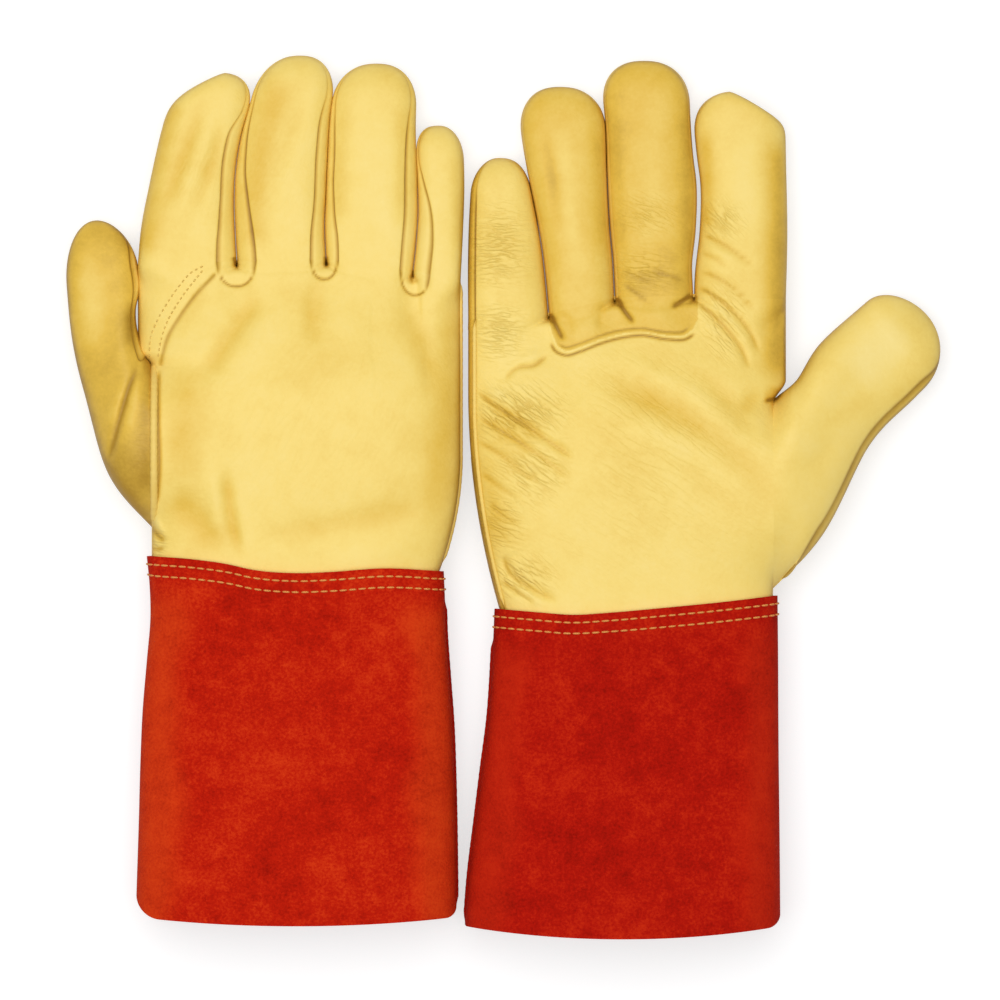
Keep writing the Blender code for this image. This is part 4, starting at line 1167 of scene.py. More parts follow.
@dataclass
class Hand:
    """The palm and back panels as one loop of columns that the fingers' columns run down into."""

    glove: Glove
    fingers: list[Finger]

    def __post_init__(self) -> None:
        """Work out the loop once, for the panels and for the thumb that grows from it."""
        self.edge = self.round_edge([finger.base for finger in self.fingers])
        self.bare = self.round_edge([finger.bare for finger in self.fingers])
        self.edge_crease = self.round_edge([finger.tube.crease[0] for finger in self.fingers])
        over = WALL_COLUMNS * 2 + STRIP_COLUMNS + 1
        self.upper_count = over * len(self.fingers)
        self.seam_column = self.upper_count - 1 - WALL_COLUMNS
        self.rows = self.row_shares()
        self.loop = self.formed()

    def round_edge(self, bases: list[Array]) -> Array:
        """Values along the fingers' bases, from the thumb side over the top and back below."""
        over = WALL_COLUMNS * 2 + STRIP_COLUMNS
        upper = [base[: over + 1] for base in bases]
        lower = [np.concatenate([base[over:], base[:1]]) for base in reversed(bases)]
        return np.concatenate(upper + lower)

    def spread(self) -> Array:
        """Where the columns lie across the hand away from the knuckles: evenly below each finger."""
        count = len(self.fingers)
        found = []
        for face, strip in ((Face.OVER, STRIP_COLUMNS), (Face.UNDER, UNDER_STRIP_COLUMNS)):
            whole = WALL_COLUMNS * 2 + strip
            parts = []
            for place, finger in enumerate(self.fingers):
                first = 0.5 if place > 0 else 0.0
                last = 0.5 if place < count - 1 else 0.0
                share = (np.arange(whole + 1) + first) / (whole + first + last)
                parts.append(mix(finger.left.knuckle, finger.right.knuckle, share))
            if face is Face.OVER:
                seam = self.bare[self.seam_column, 0]
                left = parts[-1][0]
                parts[-1][: -WALL_COLUMNS] = np.linspace(left, seam, whole + 1 - WALL_COLUMNS)
                parts[-1][-WALL_COLUMNS:] = self.bare[self.seam_column + 1 : self.upper_count, 0]
            parts = np.concatenate(parts)
            found.append(parts if face is Face.OVER else parts[::-1])
        return np.concatenate(found)

    def thumb_height(self, share: Array) -> Array:
        """How far above the wrist a share of the thumb side lies."""
        low = self.glove.sizes.wrist_line[0][1]
        return mix(low, self.glove.sizes.edges[0].reach, share)

    def row_shares(self) -> Array:
        """Rows on the lap, below the thumb's root, along it and above it to the knuckles."""
        low, high = self.glove.sizes.thumb_root
        span = self.thumb_height(1.0) - self.thumb_height(0.0)
        first, last = ((y - self.thumb_height(0.0)) / span for y in (low, high))
        lap, below, root, above = HAND_ROWS
        turns = np.linspace(0.0, math.pi, root + 1)
        eased = mix((1.0 - np.cos(turns)) / 2.0, np.linspace(0.0, 1.0, root + 1), EVEN_SHARE)
        self.root_rows = (lap + below, lap + below + root)
        return np.concatenate(
            [
                np.linspace(-1.0, 0.0, lap + 1)[:-1],
                np.linspace(0.0, first, below + 1)[:-1],
                mix(first, last, eased)[:-1],
                np.linspace(last, 1.0, above + 1),
            ]
        )

    def levels(self, share: Array) -> tuple[Array, Array, Array]:
        """The heights of the hand, eased from the wrist to its middle and on to the knuckles."""
        first = level_between(WRIST_LEVEL, HAND_LEVEL, smooth(share * 2.0))
        second = level_between(HAND_LEVEL, KNUCKLE_LEVEL, smooth(share * 2.0 - 1.0))
        return tuple(np.where(share < 0.5, a, b) for a, b in zip(first, second))

    def sides(self, share: Array) -> tuple[Array, Array]:
        """The thumb side and the little finger side of the hand."""
        sizes = self.glove.sizes
        start, end = sizes.thumb_side_widening
        widening = smooth((share - start) / (end - start))
        thumb = mix(-sizes.wrist_half, self.bare[:, 0].min(), widening)
        left = 1.0 - np.clip(share / sizes.little_widening, 0.0, 1.0)
        little = mix(sizes.wrist_half, self.bare[:, 0].max(), 1.0 - left * left)
        return thumb, little

    def formed(self) -> Surface:
        """The loop of both panels.

        Across the hand the height is a superellipse's, held open at the thumb's root by
        narrowing the distance across by the distance from the root's middle. Near the
        knuckles it passes into the line of the fingers' own sections, with a bell-shaped
        valley below each crotch.
        """
        sizes = self.glove.sizes
        share = self.rows[:, None]
        places = self.bare[:, 0]
        lowest, highest = places.min(), places.max()
        exact, even = (2.0 * (x - lowest) / (highest - lowest) - 1.0 for x in (places, self.spread()))
        below = (1.0 - share) * (self.edge[:, 1] - through(sizes.wrist_line, exact))
        across = mix(even, exact, smooth(1.0 - below / COLUMN_SPREAD))
        side = np.where(np.arange(len(exact)) < self.upper_count, 1.0, -1.0)
        thumb, little = self.sides(share)
        x = (thumb + little) / 2.0 + across * (little - thumb) / 2.0
        wrist = through(sizes.wrist_line, across)
        y = np.where(share < 0.0, wrist + share * LAP, mix(wrist, self.edge[:, 1], share))
        low, high = sizes.thumb_root
        opening = np.minimum(np.abs(y - (low + high) / 2.0) / ((high - low) / 2.0), 1.0)
        opening = np.sin(opening * QUARTER_TURN)
        rise = arch(across * np.where(across < 0.0, opening, 1.0), HAND_SQUARENESS)
        bottom, seam, top = self.levels(share)
        height = rise * np.where(side > 0.0, top - seam, seam - bottom)
        fall = height - side * (self.bare[:, 2] - KNUCKLE_LEVEL.seam)
        depth, reach = VALLEY
        allowed = NOTCH_DEPTH * np.exp(-below / NOTCH_REACH) + 1e-3
        sunk = (fall + np.sqrt(fall * fall + EASE * EASE)) / 2.0
        fall = (fall - sunk) * smooth(1.0 - below / SIDE_BLEND) + sunk / (1.0 + (sunk / allowed) ** 4) ** 0.25
        valleys = sum(bell(x - edge.knuckle, VALLEY_WIDTH) for edge in sizes.edges[1:-1])
        fall = fall + depth * valleys * smooth(below / VALLEY_START) * smooth(1.0 - below / reach)
        surface = Surface.plain(np.stack([x, y, seam + side * (height - fall)], axis=-1))
        joined = smooth(1.0 - below / GROOVE_REACH)
        flatness = smooth(rise * HAND_FACE)
        for face in Face:
            shown = flatness * (side == face.value) * (share > 0.0)
            self.glove.relief[face].shape(surface, face.value * shown * (1.0 - joined), shown)
            self.glove.relief[face].tint(surface, shown)
        surface.points = surface.points + (self.edge - self.bare) * joined[..., None]
        # The painted shade of the fingers' seams, carried down into the hand
        surface.crease = np.maximum(surface.crease, self.edge_crease * joined)
        # Painted shade beside the welt of the side seam
        seam_line = surface.points[:, self.seam_column : self.seam_column + 1]
        beside = np.linalg.norm(surface.points - seam_line, axis=2)
        dark = SIDE_SEAM_SHADE * bell(beside, SIDE_SEAM_REACH * WELT_RADIUS)
        surface.crease = np.maximum(surface.crease, dark)
        return surface

    def panels(self) -> dict[str, Surface]:
        """The palm and back panels, parted along the outer seam and the thumb side."""
        upper, lower = self.glove.by_face("palm_panel", "back_panel")
        last = self.loop.points.shape[1] - 1
        seam = self.seam_column
        return {upper: self.loop.columns(0, seam), lower: self.loop.columns(seam, last)}

    def root_edge(self, face: Face) -> Array:
        """The open edge that the thumb grows from, on one face."""
        first, last = self.root_rows
        return self.loop.points[first : last + 1, 0 if face is Face.OVER else -1]


@dataclass
class Thumb:
    """The thumb as a closed tube that grows from the hand's open edge."""

    glove: Glove
    hand: Hand

    def __post_init__(self) -> None:
        """Work out the tube once."""
        self.low, self.high = self.glove.sizes.thumb_root
        self.middle = (self.low + self.high) / 2.0
        self.half = (self.high - self.low) / 2.0
        self.tube = self.formed()

    def station(self, name: str, share: Array) -> Array:
        """One value of the thumb's section along it, by a smooth curve through its stations."""
        root = ThumbStation(0.0, 0.0, self.half, 0.0)
        stations = (root,) + self.glove.sizes.thumb_stations
        places = np.linspace(0.0, 1.0, len(stations))
        return through(tuple((p, getattr(s, name)) for p, s in zip(places, stations)), share)

    def formed(self) -> Surface:
        """The tube of both halves.

        Each section is a superellipse across the thumb, set out and up from the root and
        turned in the plan. It shrinks over the tip as a quarter ellipse, and its first row is
        moved onto the hand's edge.
        """
        sizes = self.glove.sizes
        body = np.linspace(0.0, 1.0, THUMB_BODY_ROWS + 1)
        tip = 1.0 + np.linspace(0.0, 1.0, THUMB_TIP_ROWS + 1)[1:]
        rows = np.concatenate([body, tip])[:, None]
        turn = np.maximum(rows - 1.0, 0.0) * QUARTER_TURN
        share = THUMB_TIP_START * np.minimum(rows, 1.0) + (1.0 - THUMB_TIP_START) * np.sin(turn)
        kept = np.maximum(np.cos(turn), 0.0)
        over, under = self.hand.root_edge(Face.OVER), self.hand.root_edge(Face.UNDER)
        edge = np.concatenate([over, under[-2:0:-1]])
        root_across = np.clip((edge[:, 1] - self.middle) / self.half, -1.0, 1.0)
        plain = np.arccos(np.sign(root_across) * np.abs(root_across) ** (HAND_SQUARENESS / 2.0))
        upper = np.arange(len(edge)) < len(over)
        first, last = THUMB_SEAM_REACH
        shifted = smooth(share / first) * (1.0 - smooth((share - THUMB_TIP_START) / last))
        inner, outer = (math.radians(shift) * shifted for shift in sizes.thumb_seam_shift)
        lowest, highest = -rounded(outer, HAND_SQUARENESS)[0], rounded(inner, HAND_SQUARENESS)[0]
        turned = (math.pi - plain) / math.pi
        below, sunk = rounded(mix(-math.pi - outer, inner, turned), HAND_SQUARENESS)
        across = np.where(upper, mix(lowest, highest, (root_across + 1.0) / 2.0), below)
        rise = np.where(upper, arch(across, HAND_SQUARENESS), sunk)
        half = self.station("half_width", share) * kept
        heading = np.radians(self.station("turn", share))
        x = self.hand.sides(np.zeros(1))[0] - self.station("out", share) + across * half * np.sin(heading)
        y = self.middle + self.station("up", share) + across * half * np.cos(heading)
        wrist, knuckle = self.hand.thumb_height(0.0), self.hand.thumb_height(1.0)
        root_level = self.hand.levels((edge[:, 1] - wrist) / (knuckle - wrist))
        bottom, seam, top = (mix(a, b, smooth(share)) for a, b in zip(root_level, astuple(THUMB_TIP_LEVEL)))
        z = seam + rise * kept * np.where(rise > 0.0, top - seam, seam - bottom)
        surface = Surface.plain(np.stack([x, y, z], axis=-1))
        settling = (1.0 - smooth(share / THUMB_SETTLING))[..., None]
        relief_fade, groove_fade = (smooth(kept / reach) for reach in THUMB_TIP_FADES)
        surface.points = surface.points + (edge - surface.points[0]) * settling
        for face in Face:
            shown = smooth(face.value * rise * HAND_FACE) * relief_fade
            self.glove.relief[face].shape(surface, face.value * shown, shown)
        surface.points = surface.points + (edge - surface.points[0]) * settling
        # The seams sink into grooves, with painted shade in them
        for column in (0, len(over) - 1):
            distance = np.linalg.norm(surface.points - surface.points[:, column : column + 1], axis=2)
            groove = bell(distance, SEAM_WIDTH) * smooth(share / THUMB_GROOVE_REACH) * groove_fade
            surface.points[..., 2] -= SEAM_DEPTH * groove * np.sign(rise)
            surface.crease = np.maximum(surface.crease, THUMB_GROOVE_SHADE * groove)
        self.over_count = len(over)
        return surface

    def halves(self) -> dict[str, Surface]:
        """The front and back halves, parted along the two seams."""
        upper, lower = self.glove.by_face("thumb_front", "thumb_back")
        seam, whole = self.over_count - 1, self.tube.points.shape[1]
        return {upper: self.tube.columns(0, seam), lower: self.tube.columns(seam, whole)}


@dataclass
class Cuff:
    """The gauntlet cuff, a flared tube of split leather with an open mouth."""

    glove: Glove

    def place(self, down: Array, angle: Array) -> Array:
        """Points of the cuff at a distance below its upper edge and an angle round it.

        The section is a superellipse between the cuff's two side lines. The upper edge follows
        the wrist, and the mouth bows up to its sides and rounds off at its corners.
        """
        sizes = self.glove.sizes
        across, rise = rounded(angle, HAND_SQUARENESS)
        left, right = (through(side, down) for side in sizes.cuff_sides)
        x = (left + right) / 2.0 + across * (right - left) / 2.0
        corner = np.where(across < 0.0, *sizes.mouth_corners)
        inset = np.maximum(np.abs(across) * MOUTH_HALF - (MOUTH_HALF - corner), 0.0) / corner
        rounding = corner * (1.0 - np.sqrt(np.maximum(1.0 - inset * inset, 0.0)))
        mouth = sizes.mouth_bow * across * across + rounding - sizes.cuff_length
        y = mix(through(sizes.wrist_line, across), mouth, down / sizes.cuff_length)
        flare = smooth((down - FLARE_START) / (sizes.cuff_length - FLARE_START))
        bottom, seam, top = level_between(CUFF_TOP_LEVEL, CUFF_MOUTH_LEVEL, flare)
        z = seam + rise * np.where(rise > 0.0, top - seam, seam - bottom)
        first, second, fine = (x / wide + y / high for wide, high in WAVE_LENGTHS)
        wave = np.sin(first) * np.cos(second) + FINE_WAVE * np.sin(fine)
        start, reach = RIDGE_START
        ridge = bell(np.abs(across) - RIDGE_PLACE, RIDGE_WIDTH) * smooth((down - start) / reach)
        uneven = WAVE_HEIGHT * wave * smooth(down / WAVE_START) + RIDGE_HEIGHT * ridge
        return np.stack([x, y, z + uneven * smooth(rise * 2.0)], axis=-1)

    def tube(self) -> tuple[Surface, Array]:
        """The whole cuff, and how far each point lies on the painted sheen of the paler folds along its
        sides.
        """
        down = np.linspace(0.0, self.glove.sizes.cuff_length, CUFF_ROWS + 1)[::-1, None]
        angle = math.pi - np.linspace(0.0, 2.0 * math.pi, CUFF_COLUMNS + 1)[None, :-1]
        points = self.place(down, angle)
        across = np.abs(rounded(angle, HAND_SQUARENESS)[0])
        broad, fine = FOLD_WANDER
        long, short = WANDER_LENGTHS
        wander = broad * np.sin(down / long + 1.0) + fine * np.sin(down / short + WANDER_TURNS * angle)
        (place, width), (start, reach) = FOLD_PLACE, FOLD_START
        fold = smooth((across - place + wander) / width) * smooth((down - start) / reach)
        return Surface.plain(points), fold * np.ones(points.shape[:2])

    def row(self, down: float, pitch: float) -> tuple[Array, Array, Array]:
        """Evenly spaced places round the cuff at a distance below its edge.

        Args:
            down: the distance below the upper edge.
            pitch: the distance between places.

        Returns:
            The places, the directions along the row and the directions away from the cuff.
        """
        angle = np.linspace(0.0, 2.0 * math.pi, ROW_POINTS)
        ring = self.place(np.full_like(angle, down), angle)
        lengths = lengths_along(ring)
        at = np.linspace(0.0, lengths[-1], round(lengths[-1] / pitch) + 1)[:-1]
        angle = np.interp(at, lengths, angle)
        step = 1e-3
        here = self.place(np.full_like(angle, down), angle)
        along = self.place(np.full_like(angle, down), angle + step) - here
        below = self.place(np.full_like(angle, down + 0.5), angle) - here
        outward = np.cross(along, below)
        centre = np.array((0.0, 0.0, CUFF_TOP_LEVEL.seam))
        outward *= np.sign(np.sum(outward * (here - centre) * (1.0, 0.0, 1.0), axis=1))[:, None]
        return here, unit(along), unit(outward)


def unit(vectors: Array) -> Array:
    """Vectors at length 1."""
    return vectors / np.maximum(np.linalg.norm(vectors, axis=-1, keepdims=True), 1e-12)


def bead(path: Array, radius: float, up: Array) -> Array:
    """A round bead along a path: a circle carried along it, pinched at each stitch and drawn in at both ends.

    Args:
        path: the points of its middle.
        radius: its radius.
        up: a direction that is never along the path.

    Returns:
        A grid of points, with a row for each point of the path.
    """
    along = unit(np.gradient(path, axis=0))
    out = unit(np.cross(along, up))
    over = np.cross(out, along)
    lengths = lengths_along(path)
    to_end = np.clip(np.minimum(lengths, lengths[-1] - lengths) / WELT_TAPER, 0.0, 1.0)
    pinched = 1.0 - PINCH * np.cos(lengths * PINCH_TURN + np.sin(lengths * PINCH_DRIFT))
    width = radius * pinched * smooth(to_end)
    turns = np.linspace(0.0, 2.0 * math.pi, WELT_SIDES + 1)[:-1]
    ring = np.cos(turns)[None, :, None] * out[:, None] - np.sin(turns)[None, :, None] * over[:, None]
    return path[:, None] + width[:, None, None] * ring


def stitches(
    places: Array, along: Array, outward: Array, length: float, diameter: float
) -> tuple[Array, Array]:
    """A row of separate stitches, each a short round run of thread that dips at both ends.

    Args:
        places: the middle of each stitch on the leather.
        along: the direction of each.
        outward: the direction away from the leather at each.
        length: the length of a stitch.
        diameter: the thickness of the thread.

    Returns:
        The points and the faces.
    """
    rows, columns = STITCH_POINTS
    shares = np.linspace(-1.0, 1.0, rows)
    turns = np.linspace(0.0, 2.0 * math.pi, columns + 1)[:-1]
    width = diameter / 2.0 * np.sqrt(np.maximum(1.0 - shares**4, STITCH_END))
    height = diameter * (STITCH_HEIGHT - STITCH_DIP * shares**4)
    beside = np.cross(along, outward)
    middle = (
        places[:, None]
        + along[:, None] * (shares * length / 2.0)[None, :, None]
        + outward[:, None] * height[None, :, None]
    )
    ring = np.cos(turns)[:, None] * beside[:, None, None] - np.sin(turns)[:, None] * outward[:, None, None]
    points = middle[:, :, None] + width[None, :, None, None] * ring
    ends = np.array(((0, 1, 2, 3), (0, 3, 4, 5)))
    quads = np.concatenate([grid_faces(rows, columns, True), ends[:, ::-1], ends + (rows - 1) * columns])
    shift = np.arange(len(places))[:, None, None] * rows * columns
    return points.reshape(-1, 3), (quads[None] + shift).reshape(-1, 4)


@dataclass(frozen=True)
class LeatherFinish:
    """Smooth grain leather: its colours from deep to pale, which its painted tone picks from, the colour of
    the painted shade in its creases, and its gloss.
    """

    name: str
    slot: str
    deep: Colour
    gold: Colour
    plain: Colour
    pale: Colour
    crease: Colour
    roughness: float
    grain: float


@dataclass(frozen=True)
class SuedeFinish:
    """Dyed split leather: the colours of its nap and of the painted sheen on its folds."""

    name: str
    slot: str
    dark: Colour
    plain: Colour
    bright: Colour
    fold: Colour


@dataclass(frozen=True)
class ThreadFinish:
    """Twisted sewing thread."""

    name: str
    slot: str
    light: Colour
    dark: Colour


Finish = LeatherFinish | SuedeFinish | ThreadFinish

GRAIN = LeatherFinish(
    "yellow_grain", "grain_leather",
    (0.44, 0.25, 0.022), (0.78, 0.50, 0.065), (0.90, 0.67, 0.17), (0.95, 0.77, 0.29), (0.27, 0.12, 0.012),
    0.46, 0.18,
)
GUSSET = LeatherFinish(
    "gusset_grain", "gusset_leather",
    (0.46, 0.25, 0.022), (0.78, 0.49, 0.06), (0.89, 0.65, 0.155), (0.94, 0.75, 0.27), (0.26, 0.11, 0.01),
    0.46, 0.18,
)
WELT = LeatherFinish(
    "welt_grain", "welt",
    (0.50, 0.28, 0.03), (0.74, 0.47, 0.07), (0.84, 0.59, 0.14), (0.92, 0.72, 0.25), (0.26, 0.11, 0.012),
    0.5, 0.08,
)
RED_SUEDE = SuedeFinish(
    "red_suede", "split_leather",
    (0.30, 0.004, 0.0), (0.50, 0.010, 0.001), (0.72, 0.05, 0.006), (0.66, 0.05, 0.005),
)
DARK_RED_SUEDE = SuedeFinish(
    "dark_red_suede", "split_leather",
    (0.26, 0.003, 0.0), (0.43, 0.006, 0.001), (0.64, 0.03, 0.004), (0.54, 0.02, 0.003),
)
CUFF_WELT = SuedeFinish(
    "cuff_seam", "cuff_welt",
    (0.22, 0.003, 0.0), (0.36, 0.006, 0.001), (0.50, 0.02, 0.003), (0.40, 0.02, 0.003),
)
CUFF_THREAD = ThreadFinish("orange_thread", "thread", (0.92, 0.44, 0.11), (0.66, 0.18, 0.03))
LEATHER_THREAD = ThreadFinish("yellow_thread", "thread", (0.92, 0.68, 0.20), (0.66, 0.42, 0.07))


class Nodes:
    """A node tree that is written down node by node."""

    def __init__(self, tree: Tree) -> None:
        """Start with an empty tree."""
        self.tree = tree
        tree.nodes.clear()

    def add(self, kind: str, inputs: dict, **settings: object) -> Node:
        """Place a node.

        Args:
            kind: its type.
            inputs: its sockets by name or number, each with a value or with another's output.
            settings: its own properties.

        Returns:
            The node.
        """
        node = self.tree.nodes.new(kind)
        for name, value in settings.items():
            setattr(node, name, value)
        self.fill(node, inputs)
        return node

    def fill(self, node: Node, inputs: dict) -> None:
        """Give a node's sockets a value or another's output."""
        for name, value in inputs.items():
            if isinstance(value, Socket):
                self.tree.links.new(value, node.inputs[name])
            else:
                node.inputs[name].default_value = value

    def math(self, operation: str, first: object, second: object) -> Socket:
        """The result of one sum, product or other operation on two values."""
        return self.add("ShaderNodeMath", {0: first, 1: second}, operation=operation).outputs[0]

    def total(self, start: float, *parts: tuple[Socket, float]) -> Socket:
        """A number with values added to it, each times its weight."""
        for value, weight in parts:
            inputs = {0: value, 1: weight, 2: start}
            start = self.add("ShaderNodeMath", inputs, operation="MULTIPLY_ADD").outputs[0]
        return start

    def noise(self, where: Socket, scale: float, detail: float, roughness: float = 0.5) -> Socket:
        """Smooth noise at a scale in features per metre."""
        inputs = {"Vector": where, "Scale": scale, "Detail": detail, "Roughness": roughness}
        return self.add("ShaderNodeTexNoise", inputs).outputs["Fac"]

    def carried(self, name: str, part: str = "Fac") -> Socket:
        """A value that the points of the piece carry."""
        return self.add("ShaderNodeAttribute", {}, attribute_name=name).outputs[part]

    def group(self, tree: Tree, inputs: dict) -> Node:
        """Place a shared group."""
        return self.add("ShaderNodeGroup", inputs, node_tree=tree)

    def bump(self, height: Socket, strength: float, distance: float, **under: Socket) -> Socket:
        """The normal of a surface raised by a height, over that of the form or of another bump."""
        inputs = {"Strength": strength, "Distance": distance, "Height": height}
        return self.add("ShaderNodeBump", inputs | under).outputs["Normal"]

    def ramp(self, factor: Socket, stops: list[tuple[float, Colour]]) -> Socket:
        """A colour along a run of colours."""
        node = self.add("ShaderNodeValToRGB", {"Fac": factor})
        run_of = node.color_ramp.elements
        while len(run_of) < len(stops):
            run_of.new(0.5)
        for element, (place, colour) in zip(run_of, stops):
            element.position = place
            element.color = (*colour, 1.0)
        return node.outputs["Color"]

    def blend(self, factor: Socket, first: Socket | Colour, second: Socket | Colour) -> Socket:
        """A colour part of the way from one to another."""
        ends = [end if isinstance(end, Socket) else (*end, 1.0) for end in (first, second)]
        return self.add("ShaderNodeMix", {0: factor, 6: ends[0], 7: ends[1]}, data_type="RGBA").outputs[2]


def new_group(name: str, inputs: dict[str, str], outputs: dict[str, str]) -> tuple[Nodes, Node, Node]:
    """An empty shader node group.

    Args:
        name: its name.
        inputs: its inputs, with the type of each.
        outputs: its outputs, with the type of each.

    Returns:
        Its nodes, with the nodes of its inputs and of its outputs.
    """
    tree = bpy.data.node_groups.new(name, "ShaderNodeTree")
    for way, sockets in (("INPUT", inputs), ("OUTPUT", outputs)):
        for socket, kind in sockets.items():
            tree.interface.new_socket(name=socket, in_out=way, socket_type=f"NodeSocket{kind}")
    nodes = Nodes(tree)
    return nodes, nodes.add("NodeGroupInput", {}), nodes.add("NodeGroupOutput", {})


class Finishes:
    """The materials of the gloves, with the groups that they share."""

    def __init__(self) -> None:
        """Make the shared groups."""
        self.made: dict[str, Material] = {}
        self.mottle = self.mottle_group()
        self.grain = self.grain_group()
        self.wrinkles = self.wrinkle_group()
        self.nap = self.nap_group()

    def mottle_group(self) -> Tree:
        """Soft changes over a hide about a given tone, as a place from 0 to 1 along its colours."""
        takes = {"Vector": "Vector", "Tone": "Float"}
        nodes, given, result = new_group("hide_mottle", takes, {"Tone": "Float"})
        clouds = [(nodes.noise(given.outputs["Vector"], *kind), weight) for kind, weight in MOTTLE]
        middle = 0.5 - sum(weight for _, weight in MOTTLE) / 2.0
        nodes.fill(result, {"Tone": nodes.total(middle, (given.outputs["Tone"], 0.5), *clouds)})
        return nodes.tree

    def grain_group(self) -> Tree:
        """The height of leather's pebbled grain, of cells about a millimetre across and fine lines."""
        nodes, given, result = new_group("hide_grain", {"Vector": "Vector"}, {"Height": "Float"})
        where = given.outputs["Vector"]
        cells = nodes.add("ShaderNodeTexVoronoi", {"Vector": where, "Scale": 900.0}, feature="SMOOTH_F1")
        lines = nodes.noise(where, 420.0, 4.0, 0.6)
        broad = nodes.noise(where, 130.0, 2.0)
        height = nodes.total(0.0, (cells.outputs["Distance"], 0.5), (lines, 1.0), (broad, 1.4))
        nodes.fill(result, {"Height": height})
        return nodes.tree

    def wrinkle_group(self) -> Tree:
        """Fine wrinkles: thin lines where a stretched noise passes its middle."""
        takes = {"Lie": "Vector", "Strength": "Float"}
        nodes, given, result = new_group("hide_wrinkles", takes, {"Line": "Float"})
        folds = nodes.noise(given.outputs["Lie"], 1.0, 2.0, 0.45)
        away = nodes.math("ABSOLUTE", nodes.math("SUBTRACT", folds, 0.5), 0.0)
        line = nodes.math("MAXIMUM", nodes.total(1.0, (away, -6.5)), 0.0)
        line = nodes.math("MULTIPLY", nodes.math("POWER", line, 1.6), given.outputs["Strength"])
        nodes.fill(result, {"Line": line})
        return nodes.tree

    def nap_group(self) -> Tree:
        """The nap of split leather: cloudy brushed patches, short fibres and the height of both."""
        gives = {"Shade": "Float", "Height": "Float"}
        nodes, given, result = new_group("split_nap", {"Vector": "Vector"}, gives)
        where = given.outputs["Vector"]
        clouds = nodes.noise(where, 32.0, 3.0, 0.6)
        brushed = nodes.noise(where, 140.0, 4.0, 0.65)
        fibres = nodes.noise(where, 900.0, 3.0, 0.7)
        shade = nodes.total(-0.4, (clouds, 0.55), (brushed, 0.5), (fibres, 0.75))
        nodes.fill(result, {"Shade": shade, "Height": nodes.total(0.0, (fibres, 1.0), (brushed, 1.2))})
        return nodes.tree

    def material(self, finish: Finish) -> Material:
        """The material of a finish, made the first time that it is asked for."""
        if finish.name in self.made:
            return self.made[finish.name]
        made = bpy.data.materials.new(finish.name)
        made.use_nodes = True
        nodes = Nodes(made.node_tree)
        where = nodes.add("ShaderNodeTexCoord", {}).outputs["Object"]
        makers = {LeatherFinish: self.leather, SuedeFinish: self.suede, ThreadFinish: self.thread}
        look = makers[type(finish)](finish, nodes, where)
        shader = nodes.add("ShaderNodeBsdfPrincipled", look)
        nodes.add("ShaderNodeOutputMaterial", {"Surface": shader.outputs["BSDF"]})
        self.made[finish.name] = made
        return made

    def leather(self, finish: LeatherFinish, nodes: Nodes, where: Socket) -> dict:
        """The look of grain leather, whose tone with its painted shade and highlights, and painted crease
        shade, follow the folds of its piece.
        """
        lie, strength = nodes.carried("lie", "Vector"), nodes.carried("wrinkle")
        line = nodes.group(self.wrinkles, {"Lie": lie, "Strength": strength}).outputs["Line"]
        # Painted shade in creases and fine wrinkles lowers the tone and blends in the crease colour
        crease = nodes.math("MAXIMUM", nodes.carried("crease"), nodes.math("MULTIPLY", line, WRINKLE_SHADE))
        tone = nodes.math("SUBTRACT", nodes.carried("tone"), nodes.math("MULTIPLY", crease, CREASE_SHADE_TONE))
        place = nodes.group(self.mottle, {"Vector": where, "Tone": tone}).outputs["Tone"]
        stops = [(0.0, finish.deep), (0.25, finish.gold), (0.5, finish.plain), (0.8, finish.pale)]
        dark = nodes.math("POWER", crease, CREASE_SHADE_POWER)
        colour = nodes.blend(dark, nodes.ramp(place, stops), finish.crease)
        grain = nodes.group(self.grain, {"Vector": where}).outputs["Height"]
        folds = nodes.bump(nodes.math("MULTIPLY", line, -1.0), 0.5, 0.001)
        normal = nodes.bump(grain, finish.grain, 0.0006, Normal=folds)
        look = {"Base Color": colour, "Normal": normal, "Roughness": finish.roughness}
        return look | {"Specular IOR Level": 0.3}

    def suede(self, finish: SuedeFinish, nodes: Nodes, where: Socket) -> dict:
        """The look of brushed red suede, with a painted sheen that makes its folds paler."""
        nap = nodes.group(self.nap, {"Vector": where})
        shade = nap.outputs["Shade"]
        colour = nodes.ramp(shade, [(0.22, finish.dark), (0.5, finish.plain), (0.85, finish.bright)])
        # Painted sheen on the folds along the cuff's sides, mottled by the nap
        brushed = nodes.math("MULTIPLY", shade, FOLD_SHEEN_BRUSHING)
        colour = nodes.blend(nodes.math("MULTIPLY", nodes.carried("fold"), brushed), colour, finish.fold)
        normal = nodes.bump(nap.outputs["Height"], 0.35, 0.0008)
        return {"Base Color": colour, "Normal": normal, "Roughness": 0.95, "Specular IOR Level": 0.1}

    def thread(self, finish: ThreadFinish, nodes: Nodes, where: Socket) -> dict:
        """The look of sewing thread, with the fine bands of its twist."""
        inputs = {"Vector": where, "Scale": 900.0, "Distortion": 1.5}
        bands = nodes.add("ShaderNodeTexWave", inputs, bands_direction="DIAGONAL").outputs["Fac"]
        fuzz = nodes.math("MULTIPLY", nodes.noise(where, 160.0, 2.0), 0.5)
        colour = nodes.blend(fuzz, nodes.blend(bands, finish.light, finish.dark), finish.dark)
        return {"Base Color": colour, "Normal": nodes.bump(bands, 0.4, 0.0002), "Roughness": 0.6}


